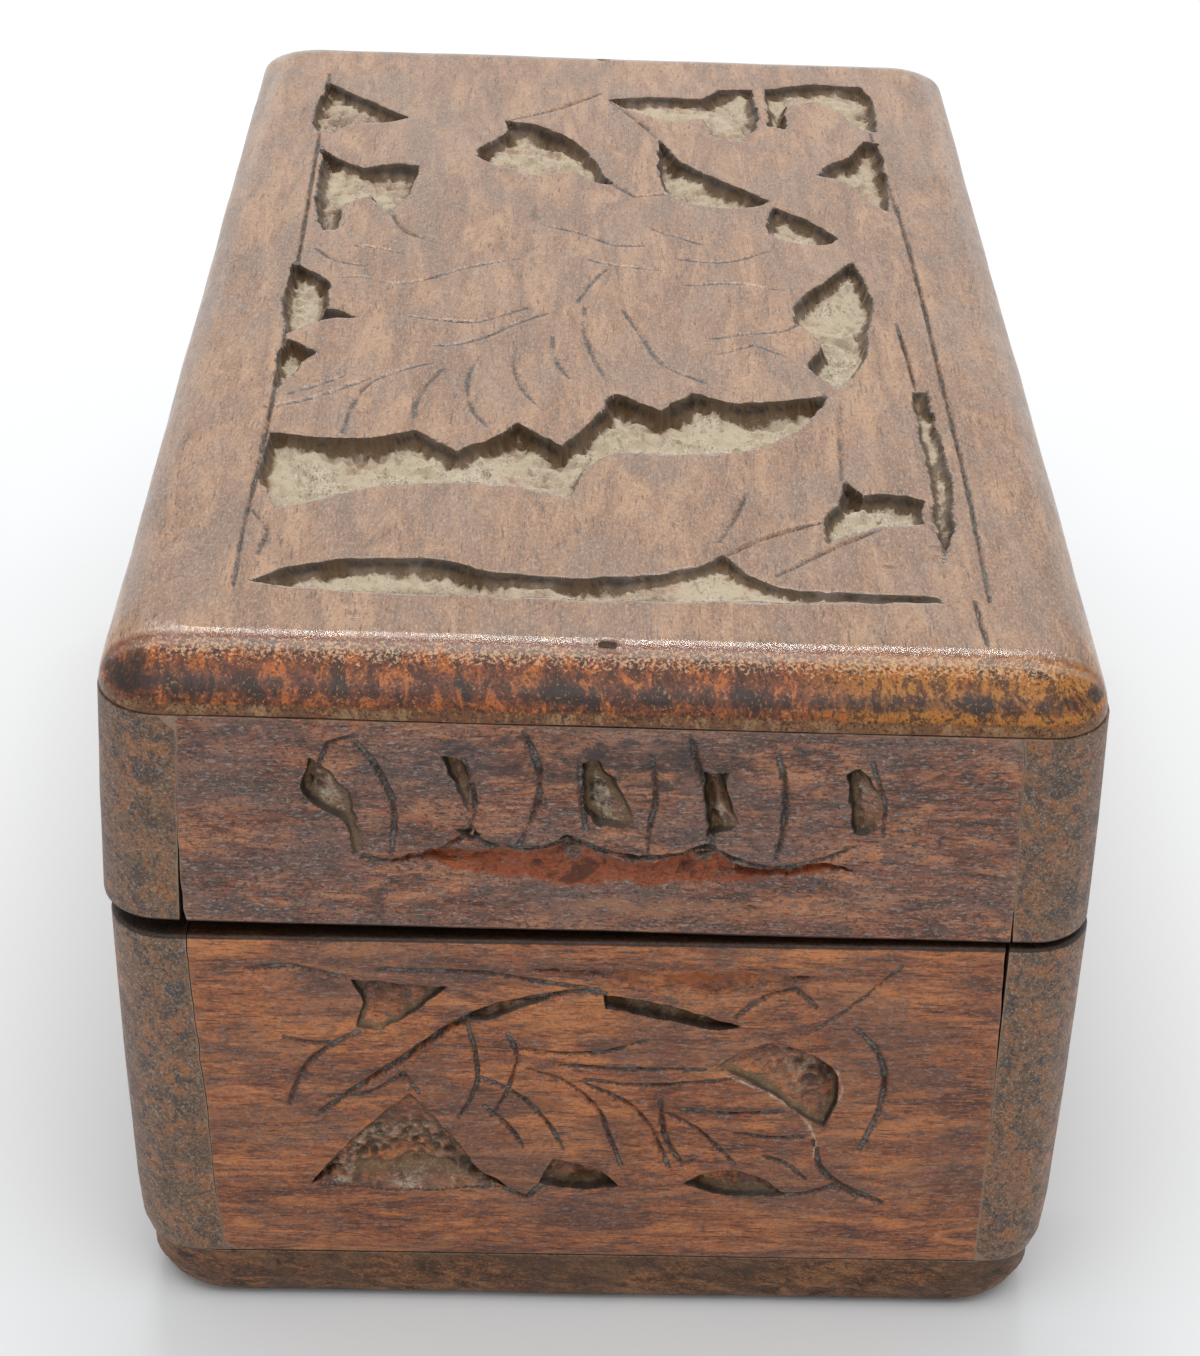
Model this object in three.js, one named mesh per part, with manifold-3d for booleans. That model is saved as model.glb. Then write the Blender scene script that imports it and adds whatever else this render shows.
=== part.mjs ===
// A small hinged box of solid hardwood, carved in relief by hand.
//
// Millimetres, +Z up. The origin is the centre of the bottom face, +Y runs along the
// box away from the near end, and the hinges are on the +X side.
// The lid stands a little open at the front, as an old box that has moved does.

import * as THREE from 'three';
import { mergeVertices } from 'three/addons/utils/BufferGeometryUtils.js';
import Module from 'manifold-3d';

const wasm = await Module();
wasm.setup();

// Driving dimensions of the box
const boxWidth = 90;
const boxLength = 162.8;
const boxHeight = 72;
const wallThickness = 8;
const bottomBoardThickness = 6.6;
const topBoardThickness = 5.2;
const splitHeight = 44.6;
const cornerRadius = 6;
const cornerSegments = 6;
const glueLine = 0.1;

// How the lid sits: clear of the base at the hinges, open at the front, a little to the front
const rimGap = 0.3;
const lidTilt = 0.0125;
const lidShift = -0.35;

// Hinges: two butt hinges let into the rims of the back walls
const hingeLength = 20;
const hingeSpacing = 94;
const leafThickness = 0.7;
const leafInset = 5.5;
const knuckleRadius = 1.65;
const knuckleBore = 0.95;
const pinRadius = 0.65;
const pinHead = 0.6;
const knuckleGap = 0.3;
const seatGap = 0.05;
const screwSpacing = 12;
const screwLength = 6.5;
const screwHeadRadius = 1.5;
const screwShankRadius = 0.75;
const screwHeadDepth = 0.65;
const screwSlotWidth = 0.4;
const screwClearance = 0.08;

// Nails: one at the middle of each end holds the top board down on the end walls
const nailLength = 17;
const nailRadius = 0.55;
const nailHeadRadius = 0.85;
const nailHeadDepth = 0.6;
const nailSunk = 0.7;
const nailInset = 6;

// Depths of the carving
const deepCut = 2.3;
const middleCut = 1.7;
const shallowCut = 1.1;

const halfWidth = boxWidth / 2;
const halfLength = boxLength / 2;
const innerHalfWidth = halfWidth - wallThickness;
const innerHalfLength = halfLength - wallThickness;
const lidRim = splitHeight + rimGap;
const lidWallTop = boxHeight - topBoardThickness;
const hingeX = halfWidth + knuckleRadius + knuckleGap;
const hingeZ = splitHeight + rimGap / 2;
const beyond = 20;

const oiledWood = { color: 0x7a4a34, roughness: 0.55, metalness: 0 };
const endPanelWood = { color: 0x6e3d2a, roughness: 0.6, metalness: 0 };
const bottomWood = { color: 0x573724, roughness: 0.7, metalness: 0 };
const agedBrass = { color: 0x8f7440, roughness: 0.45, metalness: 1 };
const darkIron = { color: 0x4a423c, roughness: 0.6, metalness: 1 };

function solidFrom(geometry) {
  geometry.deleteAttribute('normal');
  geometry.deleteAttribute('uv');
  const merged = mergeVertices(geometry, 1e-5);
  const vertProperties = new Float32Array(merged.attributes.position.array);
  const triVerts = new Uint32Array(merged.index.array);
  return new wasm.Manifold(new wasm.Mesh({ numProp: 3, vertProperties, triVerts }));
}

function pieceFrom(name, solid, finish) {
  const { vertProperties, triVerts } = solid.getMesh();
  const geometry = new THREE.BufferGeometry();
  geometry.setAttribute('position', new THREE.BufferAttribute(new Float32Array(vertProperties), 3));
  geometry.setIndex(new THREE.BufferAttribute(new Uint32Array(triVerts), 1));
  geometry.computeVertexNormals();
  const piece = new THREE.Mesh(geometry, new THREE.MeshStandardMaterial(finish));
  piece.name = name;
  return piece;
}

function block(x0, x1, y0, y1, z0, z1) {
  const geometry = new THREE.BoxGeometry(x1 - x0, y1 - y0, z1 - z0);
  geometry.translate((x0 + x1) / 2, (y0 + y1) / 2, (z0 + z1) / 2);
  return solidFrom(geometry);
}

// One ring of points round a rectangle with rounded corners, anticlockwise from above
function roundedRing({ z, halfX, halfY, corner = cornerRadius }) {
  const ring = [];
  for (let quarter = 0; quarter < 4; quarter += 1) {
    const sideX = quarter === 0 || quarter === 3 ? 1 : -1;
    const sideY = quarter < 2 ? 1 : -1;
    for (let step = 0; step <= cornerSegments; step += 1) {
      const angle = (quarter + step / cornerSegments) * Math.PI / 2;
      const x = sideX * (halfX - corner) + corner * Math.cos(angle);
      const y = sideY * (halfY - corner) + corner * Math.sin(angle);
      ring.push(x, y, z);
    }
  }
  return ring;
}

// A closed solid through a stack of rounded rectangles, listed from the bottom up
function stackedShell(rings) {
  const count = 4 * (cornerSegments + 1);
  const positions = rings.flatMap(roundedRing);
  const index = [];
  for (let level = 0; level < rings.length - 1; level += 1) {
    for (let i = 0; i < count; i += 1) {
      const a = level * count + i;
      const b = level * count + (i + 1) % count;
      index.push(a, b, b + count, a, b + count, a + count);
    }
  }
  const last = (rings.length - 1) * count;
  for (let i = 1; i < count - 1; i += 1) {
    index.push(0, i + 1, i);
    index.push(last, last + i, last + i + 1);
  }
  const geometry = new THREE.BufferGeometry();
  geometry.setAttribute('position', new THREE.Float32BufferAttribute(positions, 3));
  geometry.setIndex(index);
  return solidFrom(geometry);
}

// The profile of a worn edge, from the side face to the flat face. A power of 2 gives a quarter
// ellipse, and a lower one meets the flat face at a soft crease.
function easedRings({
  zSide, zFlat, halfX, halfY, insetX, insetY, powerX = 2, powerY = 2, corner, steps,
}) {
  const rings = [];
  for (let step = 0; step <= steps; step += 1) {
    const angle = step / steps * Math.PI / 2;
    rings.push({
      z: zSide + (zFlat - zSide) * Math.sin(angle),
      halfX: halfX - insetX * (1 - Math.cos(angle) ** (2 / powerX)),
      halfY: halfY - insetY * (1 - Math.cos(angle) ** (2 / powerY)),
      corner,
    });
  }
  return rings;
}

// A straight-sided cut of a given outline, standing up from height z0 to z1
function prism(outline, z0, z1) {
  const shape = new THREE.Shape(outline.map(([x, y]) => new THREE.Vector2(x, y)));
  const geometry = new THREE.ExtrudeGeometry(shape, { depth: z1 - z0, bevelEnabled: false });
  geometry.translate(0, 0, z0);
  return solidFrom(geometry);
}

function carveTop(solid, cuts) {
  return cuts.reduce((left, { outline, depth }) => (
    left.subtract(prism(outline, boxHeight - depth, boxHeight + 1).translate([lidShift, 0, 0]))
  ), solid);
}

// Cuts outlines, drawn as across and up, into an upright face. turn is the face's angle
// about Z from the near end, in degrees, and offset slides the motif along the face.
function carveFace(solid, cuts, { turn, distance, offset = 0, mirror = 1, shift = 0 }) {
  return cuts.reduce((left, { outline, depth }) => {
    const placed = outline.map(([across, up]) => [mirror * across + offset, up]);
    const cut = prism(placed, 0, depth + 1)
      .rotate([90, 0, 0])
      .translate([0, depth - distance, 0])
      .rotate([0, 0, turn])
      .translate([shift, 0, 0]);
    return left.subtract(cut);
  }, solid);
}

function turned(profile, segments) {
  const points = profile.map(([radius, height]) => new THREE.Vector2(radius, height));
  const geometry = new THREE.LatheGeometry(points, segments);
  geometry.rotateX(Math.PI / 2);
  return solidFrom(geometry);
}

// Carving of the lid: pockets sunk round the flower, its leaves and stems
const topCuts = [
  {
    depth: middleCut,
    outline: [[-32, -66], [-28.5, -63.2], [-24, -61.7], [-19, -61.1], [-15, -61.4], [-10, -63.3],
      [-4, -63.9], [2, -63.4], [7, -61.9], [11, -59], [13, -62.6], [16, -64.6], [22, -65.3],
      [30, -65.6], [30.3, -66.7], [14, -67.4], [-6, -67.8], [-20, -67.4], [-29, -66.8]],
  },
  {
    depth: deepCut,
    outline: [[-33.2, -36.2], [-27, -37], [-22, -36.6], [-19, -34.9], [-14.8, -39.4], [-11, -36],
      [-8.6, -32.8], [-4.4, -37.8], [-0.8, -30], [0.8, -25.2], [5.4, -29], [9, -24.6],
      [13, -26.6], [22.5, -24.6], [21, -29], [16, -35.7], [11, -38], [1, -38.2], [-2, -42.5],
      [-3.6, -48.1], [-8, -46.4], [-15, -45.7], [-22, -47], [-26, -49], [-30.8, -52.2],
      [-33, -46]],
  },
  {
    depth: deepCut,
    outline: [[27.8, 10.5], [29, 1], [28.3, -7], [26.4, -18], [23.8, -22.6], [21.2, -17],
      [22.8, -12], [20.2, -5], [22, 1], [25.5, 6.5]],
  },
  {
    depth: deepCut,
    outline: [[-34.2, 6], [-30.2, 0.5], [-29.8, -6.3], [-26, -8.5], [-30, -9.6], [-33.4, -13.3],
      [-34.5, -6]],
  },
  {
    depth: middleCut,
    outline: [[-33.4, -14.5], [-29.8, -17.3], [-31.5, -21], [-33.3, -26.5], [-33.9, -20]],
  },
  {
    depth: deepCut,
    outline: [[-33.9, 41], [-32.1, 37.2], [-28.5, 34.3], [-25.2, 35.6], [-21.9, 35.4],
      [-22.7, 27.5], [-24.6, 20.8], [-27.2, 26], [-29.8, 23], [-30.2, 15], [-31.8, 14.7],
      [-33.2, 23]],
  },
  {
    depth: deepCut,
    outline: [[-35, 63.4], [-31.8, 59.6], [-27.4, 54.8], [-24, 51.3], [-27.1, 49.6],
      [-31.1, 49.6], [-33.4, 45], [-34.9, 46.5]],
  },
  {
    depth: deepCut,
    outline: [[-15.6, 39], [-14.2, 43.4], [-12.1, 46.5], [-12, 51.7], [-8, 49.9], [-4.2, 45.8],
      [-1.3, 38.9], [1, 31.5], [-0.8, 32], [-3.6, 35.6], [-8.7, 33.4], [-12.6, 36.4]],
  },
  {
    depth: deepCut,
    outline: [[6.5, 46.8], [9.8, 38.5], [13.8, 34], [19.1, 27.9], [17.6, 26.2], [11.4, 26],
      [7.7, 29.2], [6.6, 36]],
  },
  {
    depth: deepCut,
    outline: [[19.9, 26.2], [22.4, 23.6], [26.7, 16.9], [25.4, 15.6], [22.4, 15.4],
      [19.4, 17.5], [18.7, 22.4]],
  },
  {
    depth: middleCut,
    outline: [[0.5, 59.9], [6.2, 61.2], [12.4, 61], [14.6, 64.6], [18.8, 65], [18.7, 51.7],
      [16.3, 46.4], [13.6, 48.6], [12.3, 54.1], [8.3, 53], [4.3, 55.6]],
  },
  {
    depth: middleCut,
    outline: [[20.4, 65.2], [25.8, 67.4], [32.8, 67.4], [33.8, 62.4], [33.7, 51.4],
      [31.8, 52.4], [29.6, 58.1], [26.8, 61.7], [22.8, 59.7], [22.4, 51.4], [20.4, 52.4]],
  },
  {
    depth: deepCut,
    outline: [[31.8, 48.2], [33.6, 47.4], [33.6, 37.2], [32.8, 25.6], [30.5, 30.1],
      [28.8, 34.6], [25.3, 36.5], [26.8, 39.6], [29.8, 42.9]],
  },
  {
    depth: deepCut,
    outline: [[23.2, -43.2], [24.4, -46.2], [28, -45.8], [30.3, -46.6], [30, -51.4],
      [25, -52.6], [20.6, -56], [20.8, -51.6], [22.2, -47]],
  },
  {
    depth: shallowCut,
    outline: [[31.3, -23], [32.9, -23], [33.4, -40.7], [32.6, -52], [31.2, -59], [31.3, -42.9]],
  },
];

// Carving of each end of the base: an arched leaf with pockets round it
const archCuts = [
  {
    depth: deepCut,
    outline: [[0.4, 38.6], [4, 38], [8.5, 36.8], [13, 35.3], [11, 34.9], [6, 35.9], [0.8, 37.2]],
  },
  {
    depth: middleCut,
    outline: [[10.7, 30.4], [13, 31.9], [16.2, 33.4], [19.2, 32.3], [22, 30.4], [22.6, 28],
      [21.4, 23.6], [19.3, 25], [16.4, 27.4], [13.5, 29.3]],
  },
  {
    depth: deepCut,
    outline: [[-27.3, 15.9], [-22.2, 22], [-17.3, 26.8], [-14.4, 23], [-11.6, 18.6],
      [-8.4, 15.6], [-18, 15.1]],
  },
  {
    depth: middleCut,
    outline: [[-22.6, 39.8], [-14, 39.2], [-16.4, 36.8], [-20, 34], [-22.2, 34.4],
      [-21.6, 37.6]],
  },
  {
    depth: shallowCut,
    outline: [[-7, 41.4], [6, 41.4], [20, 41.1], [15, 39.5], [9, 38.9], [3, 39.6]],
  },
  {
    depth: middleCut,
    outline: [[-5.2, 16.2], [-3.8, 19.2], [-1.2, 18.5], [1.2, 17.2], [2.4, 16], [-1, 15.5]],
  },
  {
    depth: middleCut,
    outline: [[8.7, 16.4], [10.4, 17.7], [13, 18], [15.6, 17.2], [18.4, 15.3], [13, 15]],
  },
];

// Carving of each end of the lid: a row of scallops over a crescent gouge
const scallopCuts = [
  {
    depth: shallowCut,
    outline: [[-19, 52.2], [-12.8, 53.7], [-9.3, 54.1], [-5.2, 53.8], [-2.8, 54.9], [0, 53.8],
      [3.2, 53.1], [7, 53.5], [9.5, 54.5], [12.2, 53.2], [15.6, 52.4], [19.2, 53.3],
      [22.8, 52.7], [19, 51.4], [12, 50.3], [4, 49.8], [-6, 49.9], [-13, 50.9]],
  },
  {
    depth: middleCut,
    outline: [[-26.3, 60], [-25.4, 62.8], [-23.2, 60.5], [-21.6, 57], [-20.4, 52.8],
      [-21.8, 53.2], [-22.4, 56], [-25.4, 58.2]],
  },
  {
    depth: middleCut,
    outline: [[-13.9, 63.6], [-12.2, 63.2], [-11.3, 60], [-11.5, 55.8], [-12.2, 58.6]],
  },
  {
    depth: deepCut,
    outline: [[-2, 63], [-0.5, 63.3], [1.6, 60.2], [3.1, 57], [-0.5, 56.2], [-1.4, 58]],
  },
  {
    depth: deepCut,
    outline: [[9, 62.6], [11, 62.4], [11.4, 59.4], [12.2, 57.2], [9.6, 56], [9.3, 59]],
  },
  {
    depth: middleCut,
    outline: [[21.4, 62.6], [22.6, 63], [24.2, 61.2], [24.8, 58.5], [24.4, 56.4], [22.2, 56.4],
      [21.8, 59]],
  },
];

// The long walls carry each end motif twice, the second one mirrored
const longFaceOffset = 38;

function faceTurns() {
  return [
    { side: 'near', turn: 0, distance: halfLength, offsets: [0] },
    { side: 'far', turn: 180, distance: halfLength, offsets: [0] },
    { side: 'back', turn: 90, distance: halfWidth, offsets: [-longFaceOffset, longFaceOffset] },
    { side: 'front', turn: 270, distance: halfWidth, offsets: [-longFaceOffset, longFaceOffset] },
  ];
}

// The block of space that a wall fills: end walls stand between the two long walls
function wallBlock(side, z0, z1) {
  const innerX = innerHalfWidth - glueLine;
  const blocks = {
    near: [-innerX, innerX, -halfLength - beyond, -innerHalfLength, z0, z1],
    far: [-innerX, innerX, innerHalfLength, halfLength + beyond, z0, z1],
    back: [innerHalfWidth, halfWidth + beyond, -halfLength - beyond, halfLength + beyond, z0, z1],
    front: [-halfWidth - beyond, -innerHalfWidth, -halfLength - beyond, halfLength + beyond, z0, z1],
  };
  return block(...blocks[side]);
}

function hingeCentres() {
  return [
    { place: 'near', y: -hingeSpacing / 2 },
    { place: 'far', y: hingeSpacing / 2 },
  ];
}

// What is let into a back wall for one hinge: the seat of the leaf and the screws' holes.
// up is 1 for the lid, above the hinge, and -1 for the base, below it.
function hingeSeat(y, rim, up) {
  const half = hingeLength / 2 + seatGap;
  const floor = rim + up * (leafThickness + seatGap);
  const z0 = Math.min(floor, rim - up);
  const z1 = Math.max(floor, rim - up);
  let seat = block(halfWidth - leafInset - seatGap, halfWidth + beyond, y - half, y + half, z0, z1);
  for (const screwY of [y - screwSpacing / 2, y + screwSpacing / 2]) {
    const radius = screwShankRadius + screwClearance;
    const depth = screwLength + screwClearance;
    const hole = turned([[0, 0], [radius, 0], [radius, depth], [0, depth]], 16);
    const upright = up > 0 ? hole : hole.rotate([180, 0, 0]);
    seat = seat.add(upright.translate([screwX(), screwY, rim]));
  }
  return seat;
}

function screwX() {
  return halfWidth - leafInset / 2;
}

function makeWalls({ part, shell, z0, z1, cuts, shift, rim, up }) {
  const pieces = [];
  for (const { side, turn, distance, offsets } of faceTurns()) {
    let wall = shell.intersect(wallBlock(side, z0, z1).translate([shift, 0, 0]));
    for (const offset of offsets) {
      const mirror = offset > 0 ? -1 : 1;
      wall = carveFace(wall, cuts, { turn, distance, offset, mirror, shift });
    }
    if (side === 'back') {
      for (const { y } of hingeCentres()) {
        wall = wall.subtract(hingeSeat(y, rim, up));
      }
    }
    if (part === 'lid' && (side === 'near' || side === 'far')) {
      wall = wall.subtract(nailHole(side === 'near' ? -1 : 1));
    }
    const isEnd = side === 'near' || side === 'far';
    const name = isEnd ? `${part}_${side}_end_wall` : `${part}_${side}_wall`;
    pieces.push(pieceFrom(name, wall, isEnd ? endPanelWood : oiledWood));
  }
  return pieces;
}

// Base: a bottom board glued under four walls, whose lower edge is worn round
function makeBase() {
  const bottom = stackedShell([
    ...easedRings({
      zSide: 3.2,
      zFlat: 0,
      halfX: halfWidth - 1.9,
      halfY: halfLength - 1,
      insetX: 3,
      insetY: 2,
      corner: cornerRadius + 1,
      steps: 4,
    }).reverse(),
    {
      z: bottomBoardThickness,
      halfX: halfWidth - 1.6,
      halfY: halfLength - 0.8,
      corner: cornerRadius + 1,
    },
  ]);
  const z0 = bottomBoardThickness + glueLine;
  const shell = stackedShell([
    { z: z0, halfX: halfWidth - 1.5, halfY: halfLength - 0.7 },
    { z: 8.4, halfX: halfWidth - 0.9, halfY: halfLength - 0.3 },
    { z: 13, halfX: halfWidth - 0.6, halfY: halfLength },
    { z: 28, halfX: halfWidth - 0.2, halfY: halfLength },
    { z: splitHeight, halfX: halfWidth, halfY: halfLength },
  ]);
  const walls = makeWalls({
    part: 'base',
    shell,
    z0,
    z1: splitHeight,
    cuts: archCuts,
    shift: 0,
    rim: splitHeight,
    up: -1,
  });
  return [pieceFrom('base_bottom_board', bottom, bottomWood), ...walls];
}

function nailY(end) {
  return end * (halfLength - nailInset);
}

function nailHole(end) {
  const top = boxHeight + 1;
  const seat = boxHeight - nailSunk - nailHeadDepth - seatGap;
  const foot = boxHeight - nailSunk - nailLength - seatGap;
  const shank = nailRadius + seatGap;
  const head = nailHeadRadius + seatGap;
  const profile = [[0, foot], [shank, foot], [shank, seat], [head, seat], [head, top], [0, top]];
  return turned(profile, 16).translate([lidShift, nailY(end), 0]);
}

function makeNail(end) {
  const head = boxHeight - nailSunk;
  const profile = [
    [0, head - nailLength],
    [nailRadius, head - nailLength + 2],
    [nailRadius, head - nailHeadDepth],
    [nailHeadRadius, head - nailHeadDepth],
    [nailHeadRadius, head],
    [0, head],
  ];
  const nail = turned(profile, 16).translate([lidShift, nailY(end), 0]);
  return pieceFrom(end < 0 ? 'lid_nail_near' : 'lid_nail_far', nail, darkIron);
}

// Lid: a top board with worn, rounded edges, nailed and glued down on four walls
function makeLid() {
  const board = stackedShell([
    { z: lidWallTop, halfX: halfWidth - 0.75, halfY: halfLength - 0.3 },
    ...easedRings({
      zSide: lidWallTop + 0.5,
      zFlat: boxHeight,
      halfX: halfWidth - 0.5,
      halfY: halfLength,
      insetX: 3.6,
      insetY: 7,
      powerX: 1.6,
      powerY: 1.3,
      corner: cornerRadius,
      steps: 7,
    }),
  ]).translate([lidShift, 0, 0]);
  const nails = [makeNail(-1), makeNail(1)];
  const top = carveTop(board, topCuts).subtract(nailHole(-1)).subtract(nailHole(1));
  const shell = stackedShell([
    { z: lidRim, halfX: halfWidth + 0.2, halfY: halfLength },
    { z: 56, halfX: halfWidth, halfY: halfLength },
    { z: lidWallTop - glueLine, halfX: halfWidth - 0.4, halfY: halfLength },
  ]).translate([lidShift, 0, 0]);
  const walls = makeWalls({
    part: 'lid',
    shell,
    z0: lidRim,
    z1: lidWallTop - glueLine,
    cuts: scallopCuts,
    shift: lidShift,
    rim: lidRim,
    up: 1,
  });
  return [pieceFrom('lid_top_board', top, oiledWood), ...walls, ...nails];
}

// A round bar along the hinge line, between two places along Y
function hingeBar(radius, y0, y1) {
  const geometry = new THREE.CylinderGeometry(radius, radius, y1 - y0, 24);
  geometry.translate(0, (y0 + y1) / 2, 0);
  return solidFrom(geometry).translate([hingeX, 0, hingeZ]);
}

// One leaf: a flat plate with its knuckles rolled round the pin. The base's leaf has the
// two outer knuckles and the lid's has the middle one.
function makeLeaf({ name, y, rim, up, knuckles }) {
  const plateEdge = hingeX - knuckleRadius - knuckleGap;
  const half = hingeLength / 2;
  const z0 = Math.min(rim, rim + up * leafThickness);
  const z1 = Math.max(rim, rim + up * leafThickness);
  let leaf = block(halfWidth - leafInset, plateEdge, y - half, y + half, z0, z1);
  for (const [from, to] of knuckles) {
    leaf = leaf.add(block(plateEdge - 1, hingeX - knuckleBore / 2, y + from, y + to, z0, z1));
    leaf = leaf.add(hingeBar(knuckleRadius, y + from, y + to));
  }
  leaf = leaf.subtract(hingeBar(knuckleBore, y - half - 1, y + half + 1));
  for (const screwY of [y - screwSpacing / 2, y + screwSpacing / 2]) {
    const shank = screwShankRadius + screwClearance;
    const head = screwHeadRadius + screwClearance;
    const depth = screwHeadDepth + screwClearance;
    const profile = [[0, -1], [head, -1], [head, 0], [shank, depth], [shank, 2], [0, 2]];
    const hole = turned(profile, 16);
    const upright = up > 0 ? hole : hole.rotate([180, 0, 0]);
    leaf = leaf.subtract(upright.translate([screwX(), screwY, rim]));
  }
  return pieceFrom(name, leaf, agedBrass);
}

function makeScrew({ name, y, rim, up }) {
  const profile = [
    [0, 0],
    [screwHeadRadius, 0],
    [screwShankRadius, screwHeadDepth],
    [screwShankRadius, screwLength - 1.8],
    [0, screwLength],
  ];
  const slot = block(-2, 2, -screwSlotWidth / 2, screwSlotWidth / 2, -1, screwHeadDepth / 2);
  const screw = turned(profile, 16).subtract(slot);
  const upright = up > 0 ? screw : screw.rotate([180, 0, 0]);
  return pieceFrom(name, upright.translate([screwX(), y, rim]), agedBrass);
}

function makePin(place, y) {
  const half = hingeLength / 2;
  const shank = hingeBar(pinRadius, y - half - 0.1, y + half + 0.1);
  const nearHead = hingeBar(knuckleBore + 0.2, y - half - 0.1 - pinHead, y - half - 0.1);
  const farHead = hingeBar(knuckleBore + 0.2, y + half + 0.1, y + half + 0.1 + pinHead);
  return pieceFrom(`${place}_hinge_pin`, shank.add(nearHead).add(farHead), darkIron);
}

function makeHinges() {
  const base = [];
  const lid = [];
  const half = hingeLength / 2;
  const third = hingeLength / 6;
  const outer = [[-half, -third - knuckleGap / 2], [third + knuckleGap / 2, half]];
  const middle = [[-third + knuckleGap / 2, third - knuckleGap / 2]];
  for (const { place, y } of hingeCentres()) {
    const below = { rim: splitHeight, up: -1 };
    const above = { rim: lidRim, up: 1 };
    base.push(makeLeaf({ name: `${place}_hinge_base_leaf`, y, knuckles: outer, ...below }));
    lid.push(makeLeaf({ name: `${place}_hinge_lid_leaf`, y, knuckles: middle, ...above }));
    base.push(makePin(place, y));
    for (const [number, step] of [[1, -1], [2, 1]]) {
      const screwY = y + step * screwSpacing / 2;
      base.push(makeScrew({ name: `${place}_hinge_base_screw_${number}`, y: screwY, ...below }));
      lid.push(makeScrew({ name: `${place}_hinge_lid_screw_${number}`, y: screwY, ...above }));
    }
  }
  return { base, lid };
}

const hinges = makeHinges();
const box = new THREE.Group();
box.add(...makeBase(), ...hinges.base);

// The lid turns about the hinge line, so its pieces are placed from there
const lid = new THREE.Group();
lid.position.set(hingeX, 0, hingeZ);
lid.rotation.y = lidTilt;
for (const piece of [...makeLid(), ...hinges.lid]) {
  piece.geometry.translate(-hingeX, 0, -hingeZ);
  lid.add(piece);
}
box.add(lid);

export default box;
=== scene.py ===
import math

import bpy
import numpy as np
from mathutils import Matrix, Vector
from mathutils.kdtree import KDTree


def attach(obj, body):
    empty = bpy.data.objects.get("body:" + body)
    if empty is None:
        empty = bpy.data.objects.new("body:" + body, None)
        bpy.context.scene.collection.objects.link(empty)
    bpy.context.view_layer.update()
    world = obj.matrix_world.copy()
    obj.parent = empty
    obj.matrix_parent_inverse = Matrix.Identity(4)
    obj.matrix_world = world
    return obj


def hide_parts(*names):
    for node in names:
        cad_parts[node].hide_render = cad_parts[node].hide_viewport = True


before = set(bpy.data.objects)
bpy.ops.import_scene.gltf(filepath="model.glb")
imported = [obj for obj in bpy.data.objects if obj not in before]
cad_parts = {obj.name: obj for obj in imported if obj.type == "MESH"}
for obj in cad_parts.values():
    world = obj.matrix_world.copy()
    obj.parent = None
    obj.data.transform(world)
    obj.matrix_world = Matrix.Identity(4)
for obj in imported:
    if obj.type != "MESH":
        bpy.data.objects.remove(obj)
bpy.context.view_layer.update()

# The bottom board: one plank of dark sheesham with its grain along the box, glued under the
# four walls. Years of standing and sliding on tables have worn its lower edge round.
# Boards are drawn in millimetres and brought to metres when they are finished.
millimetre = 0.001
box_half_width = 45
box_half_length = 81.4
wall_thickness = 8
inner_half_width = box_half_width - wall_thickness
inner_half_length = box_half_length - wall_thickness
bottom_half_width = 43.4
bottom_half_length = 80.6
bottom_thickness = 6.6
bottom_corner = 7
bottom_corner_steps = 10
bottom_edge_height = 3.2
bottom_step_in = (0.3, 0.2)
bottom_drawn_in = (3, 2)
bottom_steps = 8
bottom_darkened_height = 1.3
net_cell = 1.6
edge_reach = 3
smooth_below = 32


def linear(hex_colour):
    """Turns an sRGB hex colour such as "7a4a34" to the linear RGBA that a shader takes."""
    parts = [int(hex_colour[i:i + 2], 16) / 255 for i in (0, 2, 4)]
    return [c / 12.92 if c <= 0.04045 else ((c + 0.055) / 1.055) ** 2.4 for c in parts] + [1]


def add_node(tree, kind, settings=(), links=(), stops=()):
    """Adds a node with its properties and input values, its links, and its ramp's stops."""
    node = tree.nodes.new(kind)
    for name, value in dict(settings).items():
        if isinstance(name, str) and hasattr(node, name):
            setattr(node, name, value)
        else:
            node.inputs[name].default_value = value
    for name, source in dict(links).items():
        tree.links.new(source, node.inputs[name])
    for number, (place, colour) in enumerate(stops):
        ramp = node.color_ramp.elements
        stop = ramp[number] if number < 2 else ramp.new(place)
        stop.position = place
        stop.color = colour
    return node


def rough(points, size, seed):
    """Smooth noise from -1 to 1 at each point, which changes over about size millimetres."""
    table_size = 4096
    table = np.random.default_rng(seed).uniform(-1, 1, table_size)
    places = np.asarray(points, float) / size + 1000
    corner = np.floor(places).astype(np.int64)
    part = places - corner
    part = part * part * (3 - 2 * part)
    total = np.zeros(len(places))
    primes = (73856093, 19349663, 83492791)
    for step in range(2 ** places.shape[1]):
        weight = np.ones(len(places))
        key = np.zeros(len(places), np.int64)
        for axis in range(places.shape[1]):
            side = step >> axis & 1
            weight *= part[:, axis] if side else 1 - part[:, axis]
            key ^= (corner[:, axis] + side) * primes[axis]
        total += weight * table[key % table_size]
    return total


def corners_of(board):
    """The board's vertices as an array of millimetres."""
    places = np.empty(len(board.data.vertices) * 3)
    board.data.vertices.foreach_get("co", places)
    return places.reshape(-1, 3)


def move_corners(board, places):
    board.data.vertices.foreach_set("co", np.asarray(places, np.float32).ravel())
    board.data.update()


def keep_marks(board, marks):
    """Keeps a number from 0 to 3 for each vertex under each mark's name, which the wood reads."""
    for name, values in marks.items():
        kept = board.data.attributes.new(name, "FLOAT", "POINT")
        kept.data.foreach_set("value", np.clip(values, 0, 3).astype(np.float32))


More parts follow.
